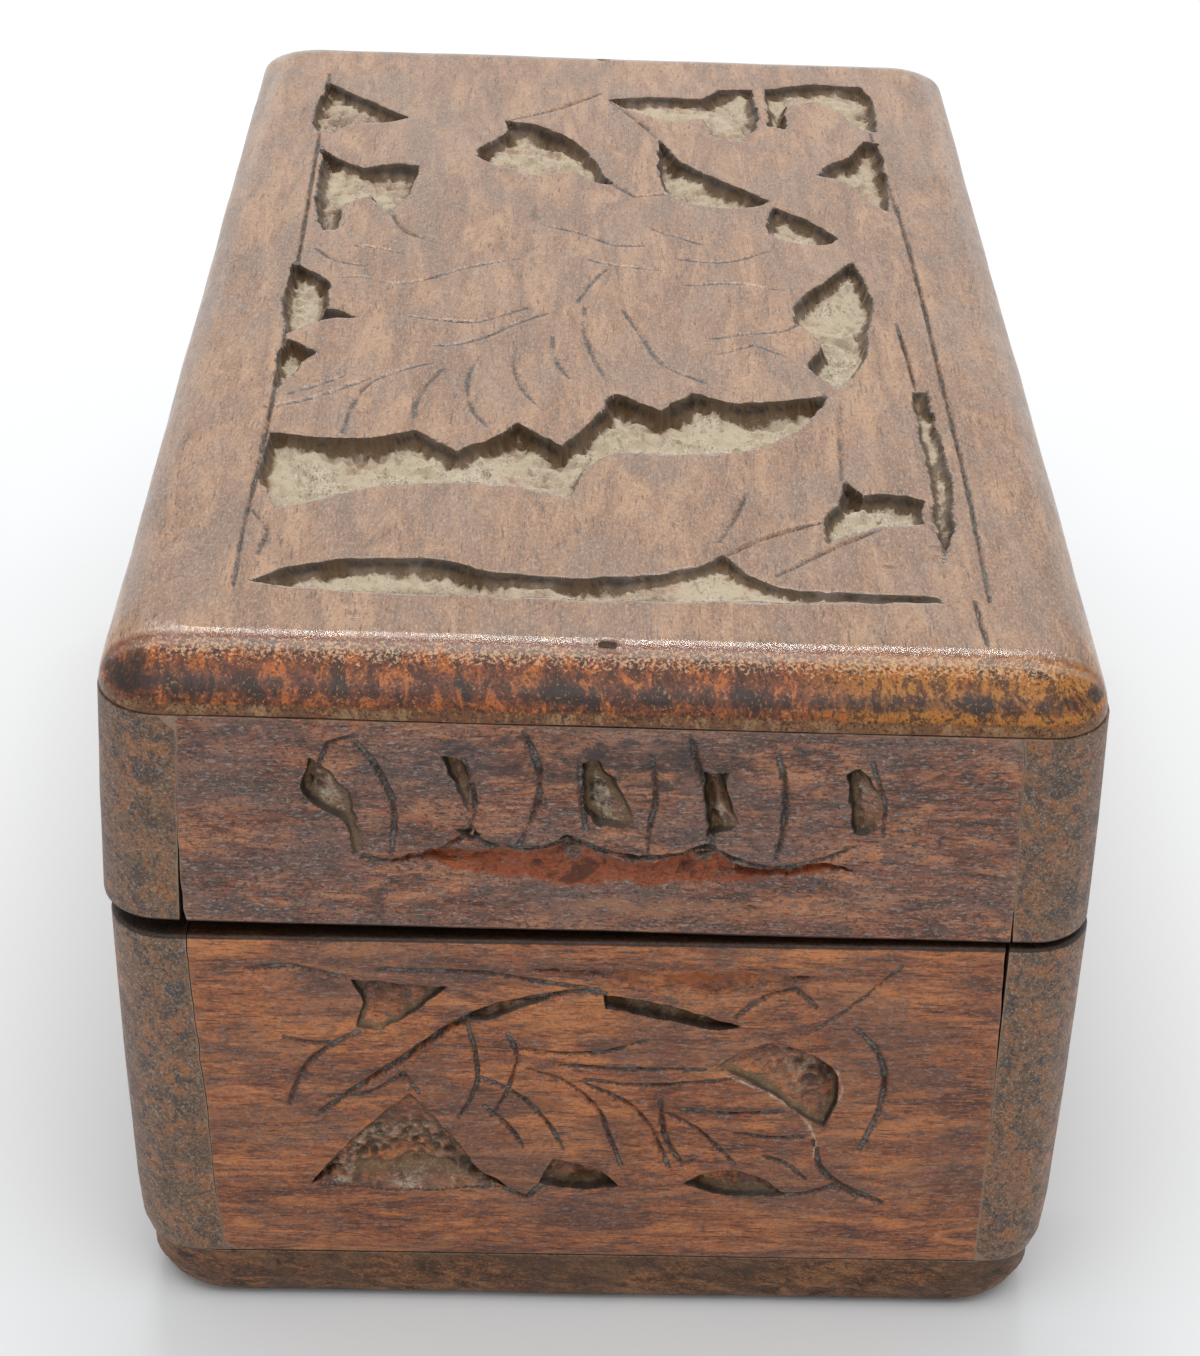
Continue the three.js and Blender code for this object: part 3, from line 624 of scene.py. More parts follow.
def carve(board, side, pockets, lines, seed, finest=0.2, ledge=0.3, batter=0.42, ragged=0.16):
    """Carves pockets and V-tool lines into one side of a board. The carving is too fine and too
    uneven for cutters, so the side's own net is made finer along the cuts and pushed in. finest
    is the smallest cell of that net, batter is how far a wall leans, ledge how much further one
    leans that faces up the side, and ragged how far the rims wander."""
    rims = [smooth_line(pocket["outline"], True) for pocket in pockets]
    grooves = [smooth_line(line["line"], False) for line in lines]
    rim_points, groove_points = np.concatenate(rims), np.concatenate(grooves)
    rim_owner = np.repeat(np.arange(len(rims)), [len(r) for r in rims])
    groove_owner = np.repeat(np.arange(len(grooves)), [len(g) for g in grooves])
    along_groove = [np.linspace(0.03, 0.97, len(g)) for g in grooves]
    taper = np.concatenate([np.sin(np.pi * along) ** 0.4 for along in along_groove])
    refine_net(board, side, rims, rim_points, groove_points, finest)

    # The corners nearest to a pocket's rim are drawn onto it, and the rim itself wanders a little
    places = corners_of(board)
    at, under = on_side(places, side)
    facing = np.flatnonzero(np.abs(under) < flat_within)
    at, under = at[facing], under[facing]
    wander = ragged * wandering(at, 2.2, seed) + ragged / 2 * wandering(at, 0.8, seed + 2)
    distance, number = nearest(at + wander, rim_points)
    to_rim = rim_points[number] - at - wander
    held = np.zeros(len(at), bool)
    for rim in rims:
        held |= inside(at + wander, rim)
    pulled = drawn_to(distance, finest)
    faces_up = to_rim[:, 1] / np.maximum(distance, 1e-6) * np.where(held, -1, 1)
    faces_up = np.clip(faces_up, 0, 1)
    at = at + to_rim * (1 - pulled / np.maximum(distance, 1e-6))[:, None]
    deep_in = np.where(held, pulled, -pulled)
    held = deep_in > 0
    owner = rim_owner[number]

    # A wall falls steeply and then eases into its floor, which was left rough from the chisel
    full = depth_at_full(at, owner, pockets, rims)
    filled = full / of_each(pockets, owner, "depth")
    full *= 0.82 + 0.22 * rough(at, 6, seed + 12) + 0.14 * rough(at, 2.5, seed + 15)
    slope = of_each(pockets, owner, "ledge", ledge)
    low_side = faces_up**2 * np.clip(slope, 0, 1)
    steep = batter * (1 + 0.65 * rough(at, 2.2, seed + 4) + 0.25 * rough(at, 0.6, seed + 10))
    run = steep + slope * faces_up**2
    fall = np.clip(deep_in / run, 0, 1)
    fall = np.where(held, 1 - (1 - fall) ** 1.5, 0)
    floor = 0.2 * rough(at, 2.4, seed + 5) + 0.2 * rough(at, 1.1, seed + 6)
    crumbs = rough(at, 0.5, seed + 7)
    floor += 0.22 * crumbs
    depth = full * fall + np.clip(full, 0, 1.6) * floor * fall**2
    lip = np.clip(1 + deep_in / lip_width, 0, 1) * ~held
    depth += lip_depth * lip**2

    # The lines are V-shaped and fade out at both ends
    shaken = at + line_shake * wandering(at, 0.5, seed + 13)
    line_distance, line_number = nearest(shaken, groove_points)
    free = np.abs(deep_in) > 0.2
    pulled = np.where(free, drawn_to(line_distance, finest), line_distance)
    to_line = groove_points[line_number] - shaken
    at = at + to_line * (1 - pulled / np.maximum(line_distance, 1e-6))[:, None]
    line_distance = pulled
    line_owner = groove_owner[line_number]
    half_width = of_each(lines, line_owner, "width") / 2
    deep = of_each(lines, line_owner, "depth") * taper[line_number]
    wedge = np.clip(1 - line_distance / half_width, 0, 1)
    line_depth = deep * wedge * (1 + 0.3 * rough(at, 1.3, seed + 8))
    depth = np.maximum(depth, line_depth * (1 - fall))

    moved = at @ np.array([side["across"], side["up"]]) + side["middle"]
    places[facing] = moved + (under + np.clip(depth, -0.05, None))[:, None] * side["inward"]
    move_corners(board, places)

    # What the cuts have picked up: dust on the floors and grime in the lines; the walls carry grime
    # and painted shade
    dusty = of_each(pockets, owner, "dust", 0)
    floor_part = np.clip((deep_in - steep * 0.7) / 0.5 + low_side, 0, 1)
    dust = dusty * held * floor_part * (0.9 + 0.45 * rough(at, 3.0, seed + 9))
    dust *= np.clip(2 * filled, 0, 1) * (1 - 0.35 * crumbs)
    bare = of_each(pockets, owner, "bare", 0)
    begun = np.clip(1 + deep_in / 0.03, 0, 1)
    down = deep_in / run
    # Painted shade: a wall is darkest just under its rim, and lighter where it faces up the side
    wall = 2.5 * np.clip(1.3 - down, 0, 1) * (1 - 0.85 * low_side) * np.clip(full, 0, 1)
    wall *= begun * (0.6 + 0.4 * np.clip(deep_in / finest, 0, 1))
    foot = grows(down, 0.3, 0.3) * grows(down, 1.35, -0.3)
    # Deeper pockets are darkened all over, by soot and by painted shade
    sooty = of_each(pockets, owner, "grime", 0.35)
    sooty *= filled * (1 + 0.9 * crumbs)
    grime = np.maximum(wall, sooty * begun * (1 - 0.5 * low_side)) * (1 - 0.8 * bare)
    near_wall = np.clip(1 + deep_in / stained_width, 0, 1) * ~held
    grime = np.maximum(grime, 0.22 * near_wall * (1 - begun))
    near_line = np.clip(1.1 - line_distance / (half_width + 0.05), 0, 1) * (1 - fall)
    near_line *= np.clip(0.85 + 0.4 * rough(at, 1.7, seed + 11), 0, 1)
    pale = of_each(lines, line_owner, "pale", 0)
    stain = of_each(lines, line_owner, "stain", 0.8)
    dust = np.maximum(dust, pale * near_line)
    rubbed = lip * faces_up * (dusty > 0.5)
    marks = {"dust": dust, "grime": grime, "foot": foot * (1 - bare), "rubbed": rubbed}
    marks["scored"] = stain * near_line * (pale == 0)
    marks["worn"] = bare * held * np.clip(deep_in / 0.8, 0, 1)
    all_over = {}
    for mark, values in marks.items():
        all_over[mark] = np.zeros(len(places))
        all_over[mark][facing] = values
    return all_over


# Soft patches reach this far from a side's face, so they don't show on the inside
paint_depth = 4


def paint_on(marks, places, side, spots):
    """Adds soft patches on one side to the marks: by mark, each an across and up, two half sizes
    and an amount."""
    at, under = on_side(places, side)
    for mark, patches in spots.items():
        total = np.zeros(len(places))
        for x, y, half_x, half_y, amount in patches:
            reach = ((at[:, 0] - x) / half_x) ** 2 + ((at[:, 1] - y) / half_y) ** 2
            total += amount * np.clip(1 - reach, 0, 1)
        painted = np.clip(total, 0, 1) * (np.abs(under) < paint_depth)
        marks[mark] = np.maximum(marks.get(mark, 0), painted)


def edges_and_inside(places, low, high, cavity, rim_z):
    """How near each vertex is to an edge of its face, whether it is on the inner face, and
    whether it is on the rim, where lid and base meet. cavity is the inner face's axis and place."""
    gaps = np.sort(np.minimum(np.abs(places - low), np.abs(high - places)), axis=1)
    axis, level = cavity
    return {
        "rim": np.clip(1 - gaps[:, 1] / edge_reach, 0, 1),
        "inner": (np.abs(places[:, axis] - level) < 0.05) * 1.0,
        # The rims where lid and base meet are darkened: soot, and painted shade in the gap between
        # them
        "sooty": (np.abs(places[:, 2] - rim_z) < 0.3) * 0.9,
    }


def wall_shape(places, levels, half_widths, half_lengths, offset=0):
    """Gives walls that were planed flat the slight barrel form of the whole box."""
    x, y, z = places.T.copy()
    short_x = box_half_width - np.interp(z, levels, half_widths)
    short_y = box_half_length - np.interp(z, levels, half_lengths)
    share_x = grows(np.abs(x), inner_half_width, wall_thickness)
    share_y = grows(np.abs(y), inner_half_length, wall_thickness)
    x -= np.sign(x) * short_x * share_x
    y -= np.sign(y) * short_y * share_y
    return np.column_stack((x + offset, y, z))


# A panel leans more and more from here out to its joint, and the joint's line wobbles a little
lean_starts = 20
joint_wobble = 0.12


def lean_joint(places, side, heights, leans, panel):
    """The near joints aren't plumb: both boards that meet there lean by so much at each height."""
    x, y, z = places.T.copy()
    near_end = grows(-y, inner_half_length, wall_thickness)
    if panel:
        share = grows(side * x, lean_starts, inner_half_width - lean_starts)
    else:
        share = grows(side * x, box_half_width, -wall_thickness)
    lean = np.interp(z, heights, leans) + joint_wobble * rough(z[:, None], 1.1, 63)
    return np.column_stack((x + lean * near_end * share, y, z))


def open_cracks(places, widths, seed):
    """Shrinks a panel's side edges back from its neighbours, by widths at heights on each side."""
    moved = places.copy()
    for side, (heights, gaps) in zip((-1, 1), widths):
        edge = side * places[:, 0] > inner_half_width - 0.2
        ragged = 1 + 0.5 * rough(places[edge], 1.5, seed)
        moved[edge, 0] -= side * np.interp(places[edge, 2], heights, gaps) * ragged
    return moved


def level_with(values, level):
    """True where a value is within a tenth of a millimetre of the level."""
    return np.abs(values - level) < 0.1


def finish_wall(board, places, marks, half, seed):
    """Gives a carved board of the base or the lid its last form, its marks and its place."""
    move_corners(board, wall_shape(places, **half["shape"]))
    keep_marks(board, marks)
    age(board, seed)
    to_metres(board, half["pose"])


def end_panel(name, turn, half, spots):
    """An end panel of the base or the lid, carved outside. Only the near one, which has no turn,
    has shrunk away from the long walls and leans with them."""
    end = 1 if turn else -1
    across_ends = sorted((end * box_half_length, end * inner_half_length))
    levels = sorted((half["rim"], half["joint"]))
    low = np.array((-panel_half_width, across_ends[0], levels[0]))
    high = np.array((panel_half_width, across_ends[1], levels[1]))
    panel = start_plank(name, low, high)
    round_edges(panel, lambda middle, along: (along[:, 0] > 0.9)
                & level_with(middle[:, 2], half["rim"])
                & level_with(np.abs(middle[:, 1]), box_half_length), rim_rounding, rim_steps)
    round_edges(panel, lambda middle, along: level_with(np.abs(middle[:, 0]), panel_half_width)
                | level_with(middle[:, 2], half["joint"]), arris, 1)
    net_over(panel)
    side = side_of_box(turn, box_half_length)
    seed = half["first_seed"] + turn
    marks = carve(panel, side, half["pockets"], half["lines"], seed, **half["panel_cut"])
    places = corners_of(panel)
    inner_face = (1, end * inner_half_length)
    marks.update(edges_and_inside(places, low, high, inner_face, half["rim"]))
    paint_on(marks, places, side, spots)
    if not turn:
        places = open_cracks(places, half["cracks"], half["crack_seed"])
        for joint_side, lean in half["leans"].items():
            places = lean_joint(places, joint_side, *lean, True)
    finish_wall(panel, places, marks, half, seed + 100)
    return panel


# What the base's boards share. The joint is where they are glued, and the rim where lid and base
# meet. cracks are heights and gaps, and leans are heights and shifts, left (-1) and right (1).
base_half = {
    "rim": split_height,
    "joint": base_wall_foot,
    "pose": Matrix.Identity(4),
    "shape": base_shape,
    "pockets": arch_pockets,
    "lines": arch_lines,
    "panel_cut": {"finest": 0.1},
    "first_seed": 100,
    "crack_seed": 61,
    "cracks": (((6.7, 44.6), (0, 0.05)), ((30, 35, 39, 44.6), (0, 0.14, 0.25, 0.32))),
    "leans": {-1: ((base_wall_foot, split_height), (1.5, -0.5))},
}
base_panel_spots = {
    "worn": [
        (3, 26, 17, 7, 0.75), (8, 40, 13, 1.6, 0.9), (-14, 28, 12, 7, 0.4), (-30, 29, 8, 5, 0.45),
        (20, 18, 14, 6, 0.35), (-26, 10, 12, 6, 0.3), (5, 10, 30, 5, 0.25), (28, 25, 6, 12, 0.25)],
    # Purple-grey smudges of dirt. The wide bands low across the panel darken its foot as painted
    # shade, where it leans in.
    "smudge": [
        (-18, 22, 9, 6, 0.6), (18, 31, 8, 4.5, 0.6), (-12, 40, 14, 2.5, 0.5),
        (16, 37.8, 5, 2.4, 0.8), (0, 16.5, 24, 3, 0.5), (-33, 12, 4, 2, 0.6), (10, 20, 6, 3, 0.4),
        (24, 12, 4, 3, 0.4), (-36, 25, 6, 22, 0.5), (37, 25, 5, 22, 0.4), (0, 10.5, 36, 3.5, 0.5)],
}
# The bloom on the old wax, which is thinner on the base's end panels
bloom_layers = [
    (None, "blotches", 0, 0.53, 0.61, 0.6, "544b4a"),
    (None, "grit", 0, 0.53, 0.62, 0.65, "2f2624"),
    (None, "flecks", 0, 0.54, 0.64, 0.6, "b3a69c"),
]
thin_bloom_layers = [layer[:5] + (0.6 * layer[5], layer[6]) for layer in bloom_layers]
base_panel_layers = grain_layers + [
    (None, "clouds", 0, 0.48, 0.6, 0.45, "6d5347"),
] + thin_bloom_layers + [
    ("worn", "blotches", 2, 0.7, 1.2, 0.65, "b25f2c"),
    ("smudge", "blotches", 2, 0.7, 1.2, 0.75, "3d3536"),
] + wear_layers + grime_and_shade_layers + dust_layers
base_panel_finish = waxed_sheesham(
    "red_waxed_sheesham", 0, ("693e2e", "9c5c39", "c57c4a"), base_panel_layers, 0.45, 0.03,
    streaks=(1.8, 3, 11))
panel_turns = {"near": 0, "far": 180}
for place_name, turn in panel_turns.items():
    panel = end_panel(f"{place_name}_base_panel", turn, base_half, base_panel_spots)
    panel.data.materials.append(base_panel_finish)
    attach(panel, "base")
    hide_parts(f"base_{place_name}_end_wall")

# The long walls of the base: two boards that run past the end panels and are rounded at the
# corners, so their end grain shows at both ends. Each carries the arched leaf twice, the
# second one mirrored, and the back wall is notched for the leaves of the hinges.
corner_radius = 6
corner_steps = 12
motif_offset = 38
end_grain_from = 77
end_grain_reach = 3
hinge_places = (-47, 47)
seat_half_length = 10.05
seat_depth = 0.75
seat_from = 39.45
seat_past_wall = 5


def cut_seat(wall, hinge_y, rim_z):
    """Chisels the seat of a hinge's leaf into a wall's rim."""
    seat_low = (seat_from, hinge_y - seat_half_length, rim_z - seat_depth)
    seat_high = (box_half_width + seat_past_wall, hinge_y + seat_half_length, rim_z + seat_depth)
    chisel = start_plank("seat", seat_low, seat_high)
    notch = wall.modifiers.new("seat", "BOOLEAN")
    notch.object = chisel
    notch.operation = "DIFFERENCE"
    bpy.context.view_layer.objects.active = wall
    bpy.ops.object.modifier_apply(modifier=notch.name)
    bpy.data.objects.remove(chisel)


def long_wall(name, outward, half, spots):
    """A long wall of the base or the lid, with its outer corners and its rim rounded and its
    motif carved twice. outward is -1 for the front and 1 for the back, which has the hinges."""
    across = sorted((outward * inner_half_width, outward * box_half_width))
    levels = sorted((half["rim"], half["joint"]))
    low = np.array((across[0], -box_half_length, levels[0]))
    high = np.array((across[1], box_half_length, levels[1]))
    wall = start_plank(name, low, high)
    round_edges(wall, lambda middle, along: upright(middle, along)
                & level_with(np.abs(middle[:, 0]), box_half_width), corner_radius, corner_steps)
    round_edges(wall, lambda middle, along: level_with(middle[:, 2], half["rim"])
                & (along[:, 2] < 0.1)
                & ((np.abs(middle[:, 0]) > box_half_width - 0.1)
                   | (np.abs(middle[:, 1]) > box_half_length - corner_radius)),
                rim_rounding, rim_steps)
    at_back = outward > 0
    if at_back:
        for hinge_y in hinge_places:
            cut_seat(wall, hinge_y, half["rim"])
    net_over(wall)
    side = side_of_box(90 if at_back else 270, box_half_width)
    seed = half["first_seed"] + (240 if at_back else 200)
    cuts, scores = [
        laid_out(motif, -motif_offset) + laid_out(motif, motif_offset, -1)
        for motif in (half["pockets"], half["lines"])
    ]
    marks = carve(wall, side, cuts, scores, seed)
    places = corners_of(wall)
    inner_face = (0, outward * inner_half_width)
    marks.update(edges_and_inside(places, low, high, inner_face, half["rim"]))
    marks["end_grain"] = grows(np.abs(places[:, 1]), end_grain_from, end_grain_reach)
    marks["inner"] *= np.abs(places[:, 1]) < inner_half_length + 0.1
    paint_on(marks, places, side, spots)
    if outward in half["leans"]:
        places = lean_joint(places, outward, *half["leans"][outward], False)
    finish_wall(wall, places, marks, half, half["first_seed"] + (320 if at_back else 300))
    return wall


wall_layers = grain_layers + [
    (None, "clouds", 0, 0.42, 0.62, 0.55, "5b4c42"),
    ("worn", "blotches", 1.4, 0.35, 0.75, 0.75, "9c5f36"),
    ("end_grain", "clouds", 1, 0.6, 0.95, 0.7, "7b5f49"),
    ("end_grain", "streaks", 2, 1.0, 1.2, 0.6, "48372b"),
    ("end_grain", "streaks", -2, 1.0, 1.15, 0.75, "9f653a"),
    ("end_grain", "blotches", 3, 1.1, 1.3, 0.6, "352b25"),
    ("end_grain", "grit", -3, 1.3, 1.5, 0.6, "a8977f"),
    ("smudge", "blotches", 1.4, 0.35, 0.65, 0.7, "332b27"),
] + bloom_layers + wear_layers + grime_and_shade_layers + dust_layers
base_wall_finish = waxed_sheesham(
    "brown_waxed_sheesham", 1, ("5a3d2b", "835b40", "a6764e"), wall_layers, 0.45, 0.03)
over_the_leaves = [(y, 25, 24, 10, 0.6) for y in (-motif_offset, motif_offset)]
base_wall_spots = {"worn": over_the_leaves + [(0, 20, 14, 16, 0.45)]}
wall_sides = {"front": -1, "back": 1}
for place_name, outward in wall_sides.items():
    wall = long_wall(f"{place_name}_base_wall", outward, base_half, base_wall_spots)
    wall.data.materials.append(base_wall_finish)
    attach(wall, "base")
    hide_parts(f"base_{place_name}_wall")

# The end panels of the lid: the same boards as the base's, sawn from one closed box when it was
# opened. Each has a row of scallops over a crescent gouge, with a wedge between each pair.
# The lid stands a little open at the front, and its pieces are drawn level and then tilted.
lid_rim = 44.9
lid_wall_top = 66.8
lid_shift = -0.35
lid_tilt = 0.0125
hinge_line = Vector((46.95, 0, 44.75))
lid_pose = (Matrix.Translation(hinge_line) @ Matrix.Rotation(lid_tilt, 4, "Y")
            @ Matrix.Translation(-hinge_line))
lid_shape = {
    "levels": (lid_rim, 56, lid_wall_top - glue_line),
    "half_widths": (45.2, 45, 44.6),
    "half_lengths": (81.4, 81.4, 81.4),
    "offset": lid_shift,
}
scallop_pockets = [
    {"depth": 1.15, "bare": 1, "ledge": 1.8, "outline": [
        (-19, 52.2), (-12.8, 53.7), (-9.3, 54.1), (-5.2, 53.8), (-2.8, 54.9), (0, 53.8), (3.2, 53.1),
        (7, 53.5), (9.5, 54.5), (12.2, 53.2), (15.6, 52.4), (19.2, 53.3), (22.8, 52.7), (19, 51.4),
        (12, 50.3), (4, 49.8), (-6, 49.9), (-13, 50.9)]},
    {"depth": 1.8, "shallow": 0.06, "deep_end": (-1, 0), "grime": 0.6, "dust": 0.42, "outline": [
        (-26.3, 60), (-25.4, 62.8), (-23.2, 60.5), (-21.6, 57), (-20.4, 52.8), (-21.8, 53.2),
        (-22.4, 56), (-25.4, 58.2)]},
    {"depth": 1.9, "shallow": 0.06, "deep_end": (-1, 0), "outline": [
        (-13.9, 63.6), (-12.2, 63.2), (-11.3, 60), (-11.5, 55.8), (-12.2, 58.6)]},
    {"depth": 2.4, "shallow": 0.06, "deep_end": (-1, 0), "grime": 0.6, "dust": 0.42, "outline": [
        (-2, 63), (-0.5, 63.3), (1.6, 60.2), (3.1, 57), (-0.5, 56.2), (-1.4, 58)]},
    {"depth": 2.4, "shallow": 0.06, "deep_end": (-1, 0), "dust": 0.42, "outline": [
        (9, 62.6), (11, 62.4), (11.4, 59.4), (12.2, 57.2), (9.6, 56), (9.3, 59)]},
    {"depth": 1.9, "shallow": 0.06, "deep_end": (-1, 0), "dust": 0.4, "outline": [
        (21.4, 62.6), (22.6, 63), (24.2, 61.2), (24.8, 58.5), (24.4, 56.4), (22.2, 56.4), (21.8, 59)]},
    {"depth": 1.3, "outline": [(-3.6, 55), (-2.6, 55.5), (-1.6, 54.6), (-2.7, 54.4)]},
    {"depth": 1.2, "outline": [(8.2, 54.5), (9.3, 55), (10.3, 54.3), (9.2, 54)]},
    {"depth": 1.2, "outline": [(-12.6, 55.7), (-11.6, 56.2), (-10.8, 55.5), (-11.8, 55.1)]},
    {"depth": 0.2, "outline": [(12.5, 48.2), (13.3, 48.7), (14.2, 48.3), (13.4, 47.7)]},
]
scallop_arcs = [
    [(-21.5, 64.6), (-20, 62.5), (-18.3, 58), (-18.5, 53)],
    [(-7, 66), (-5.8, 63), (-5.5, 60), (-6.5, 56), (-7.2, 54.4)],
    [(-12.2, 63), (-11.2, 59), (-11.6, 55.8)],
    [(4.2, 64), (4.7, 60), (4.3, 56), (4.2, 54)],
    [(7.5, 66), (8.3, 63), (9.1, 60.5)],
    [(9.2, 61), (9.4, 58), (9.9, 55)],
    [(15.2, 64.5), (16, 61), (16.1, 57), (15.6, 53)],
    [(-2, 63), (-1.7, 59), (-1.3, 56.2)],
]
scallop_lines = [{"depth": 0.45, "width": 0.8, "line": arc} for arc in scallop_arcs]
scallop_lines += [
    {"depth": 0.5, "width": 0.6, "line": [
        (-21.8, 53), (-18.6, 52.3), (-15, 53.2), (-11.7, 55), (-9.3, 54.2), (-5.2, 54), (-2.6, 55.2),
        (0, 54), (3.2, 53.3), (7, 53.7), (9.5, 54.8), (12.2, 53.4), (15.6, 52.6), (19.2, 53.5),
        (22.4, 55)]},
    {"depth": 0.35, "width": 0.7, "line": [(-26, 58.4), (-24, 64.5), (-21.5, 65.4)]},
    {"depth": 0.3, "width": 0.7, "line": [(25, 56.4), (24.8, 60), (23.5, 64)]},
]
lid_half = {
    "rim": lid_rim,
    "joint": lid_wall_top - closed_joint,
    "pose": lid_pose,
    "shape": lid_shape,
    "pockets": scallop_pockets,
    "lines": scallop_lines,
    "panel_cut": {"finest": 0.1, "ledge": 0.5, "batter": 0.6, "ragged": 0.34},
    "first_seed": 500,
    "crack_seed": 62,
    "cracks": (((44.9, 47, 50, 54.5), (0.5, 0.38, 0.2, 0)), ((44.9, 46.5, 49.5), (0.3, 0.18, 0))),
    "leans": {-1: ((lid_rim, lid_wall_top), (-0.55, 0)), 1: ((lid_rim, lid_wall_top), (0.5, -0.6))},
}
lid_panel_spots = {
    "worn": [
        (2, 51.6, 18, 1.8, 1), (4, 48, 18, 2.4, 0.2), (-14, 60, 3.5, 4, 0.4), (30, 62, 6, 3, 0.3),
        (-30, 52, 5, 5, 0.25)],
    "smudge": [
        (0, 64, 38, 3.6, 1), (32, 56, 11, 14, 0.6), (-36, 56, 6, 14, 0.5), (-21, 48, 3, 4, 0.6),
        (-27, 48.5, 1.4, 3.2, 0.8), (-16, 48, 0.8, 2.8, 0.7), (-19.5, 48, 0.7, 3.4, 0.8),
        (2, 60, 18, 4, 0.8)],
    "buffed": [(6, 47.8, 26, 2.4, 1), (30, 51, 7, 6, 0.5)],
}
lid_panel_layers = grain_layers + [
    (None, "clouds", 0, 0.44, 0.6, 0.5, "6f5e58"),
] + bloom_layers + [
    ("worn", "blotches", 2, 0.6, 0.95, 0.75, "9c4716"),
    ("worn", "grit", 2, 1.05, 1.3, 0.6, "5a2a14"),
    ("worn", "blotches", 3, 1.1, 1.35, 0.75, "3c2118"),
    ("buffed", "blotches", 2, 0.7, 1.1, 0.45, "bd835c"),
    ("smudge", "blotches", 2, 0.7, 1.2, 0.75, "38302f"),
] + wear_layers + grime_and_shade_layers + dust_layers
lid_panel_finish = waxed_sheesham(
    "grey_waxed_sheesham", 0, ("594036", "885643", "b87c58"), lid_panel_layers, 0.5, 0.03,
    streaks=(1.8, 3, 9))
for place_name, turn in panel_turns.items():
    panel = end_panel(f"{place_name}_lid_panel", turn, lid_half, lid_panel_spots)
    panel.data.materials.append(lid_panel_finish)
    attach(panel, "lid")
    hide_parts(f"lid_{place_name}_end_wall")

# The long walls of the lid, with the scallops twice on each. The back one has the hinges'
# other seats.
lid_wall_finish = waxed_sheesham(
    "dull_waxed_sheesham", 1, ("543c2e", "7c5944", "9e7150"), wall_layers, 0.5, 0.03)
for place_name, outward in wall_sides.items():
    wall = long_wall(f"{place_name}_lid_wall", outward, lid_half, {})
    wall.data.materials.append(lid_wall_finish)
    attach(wall, "lid")
    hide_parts(f"lid_{place_name}_wall")

# The top board of the lid: one plank, its edges worn round and its ends showing end grain. Its
# carving is the deepest on the box: a many-petalled flower with its stem, leaves and bud,
# left standing in sunk ground that has filled with pale dust.
top_height = 72
top_edge_height = 67.3
top_half_width = 44.5
top_half_length = 81.4
top_drawn_in = (3.6, 7)
top_roundness = (1.6, 1.3)
top_steps = 12
top_foot_rounding = 0.3
top_foot_steps = 2

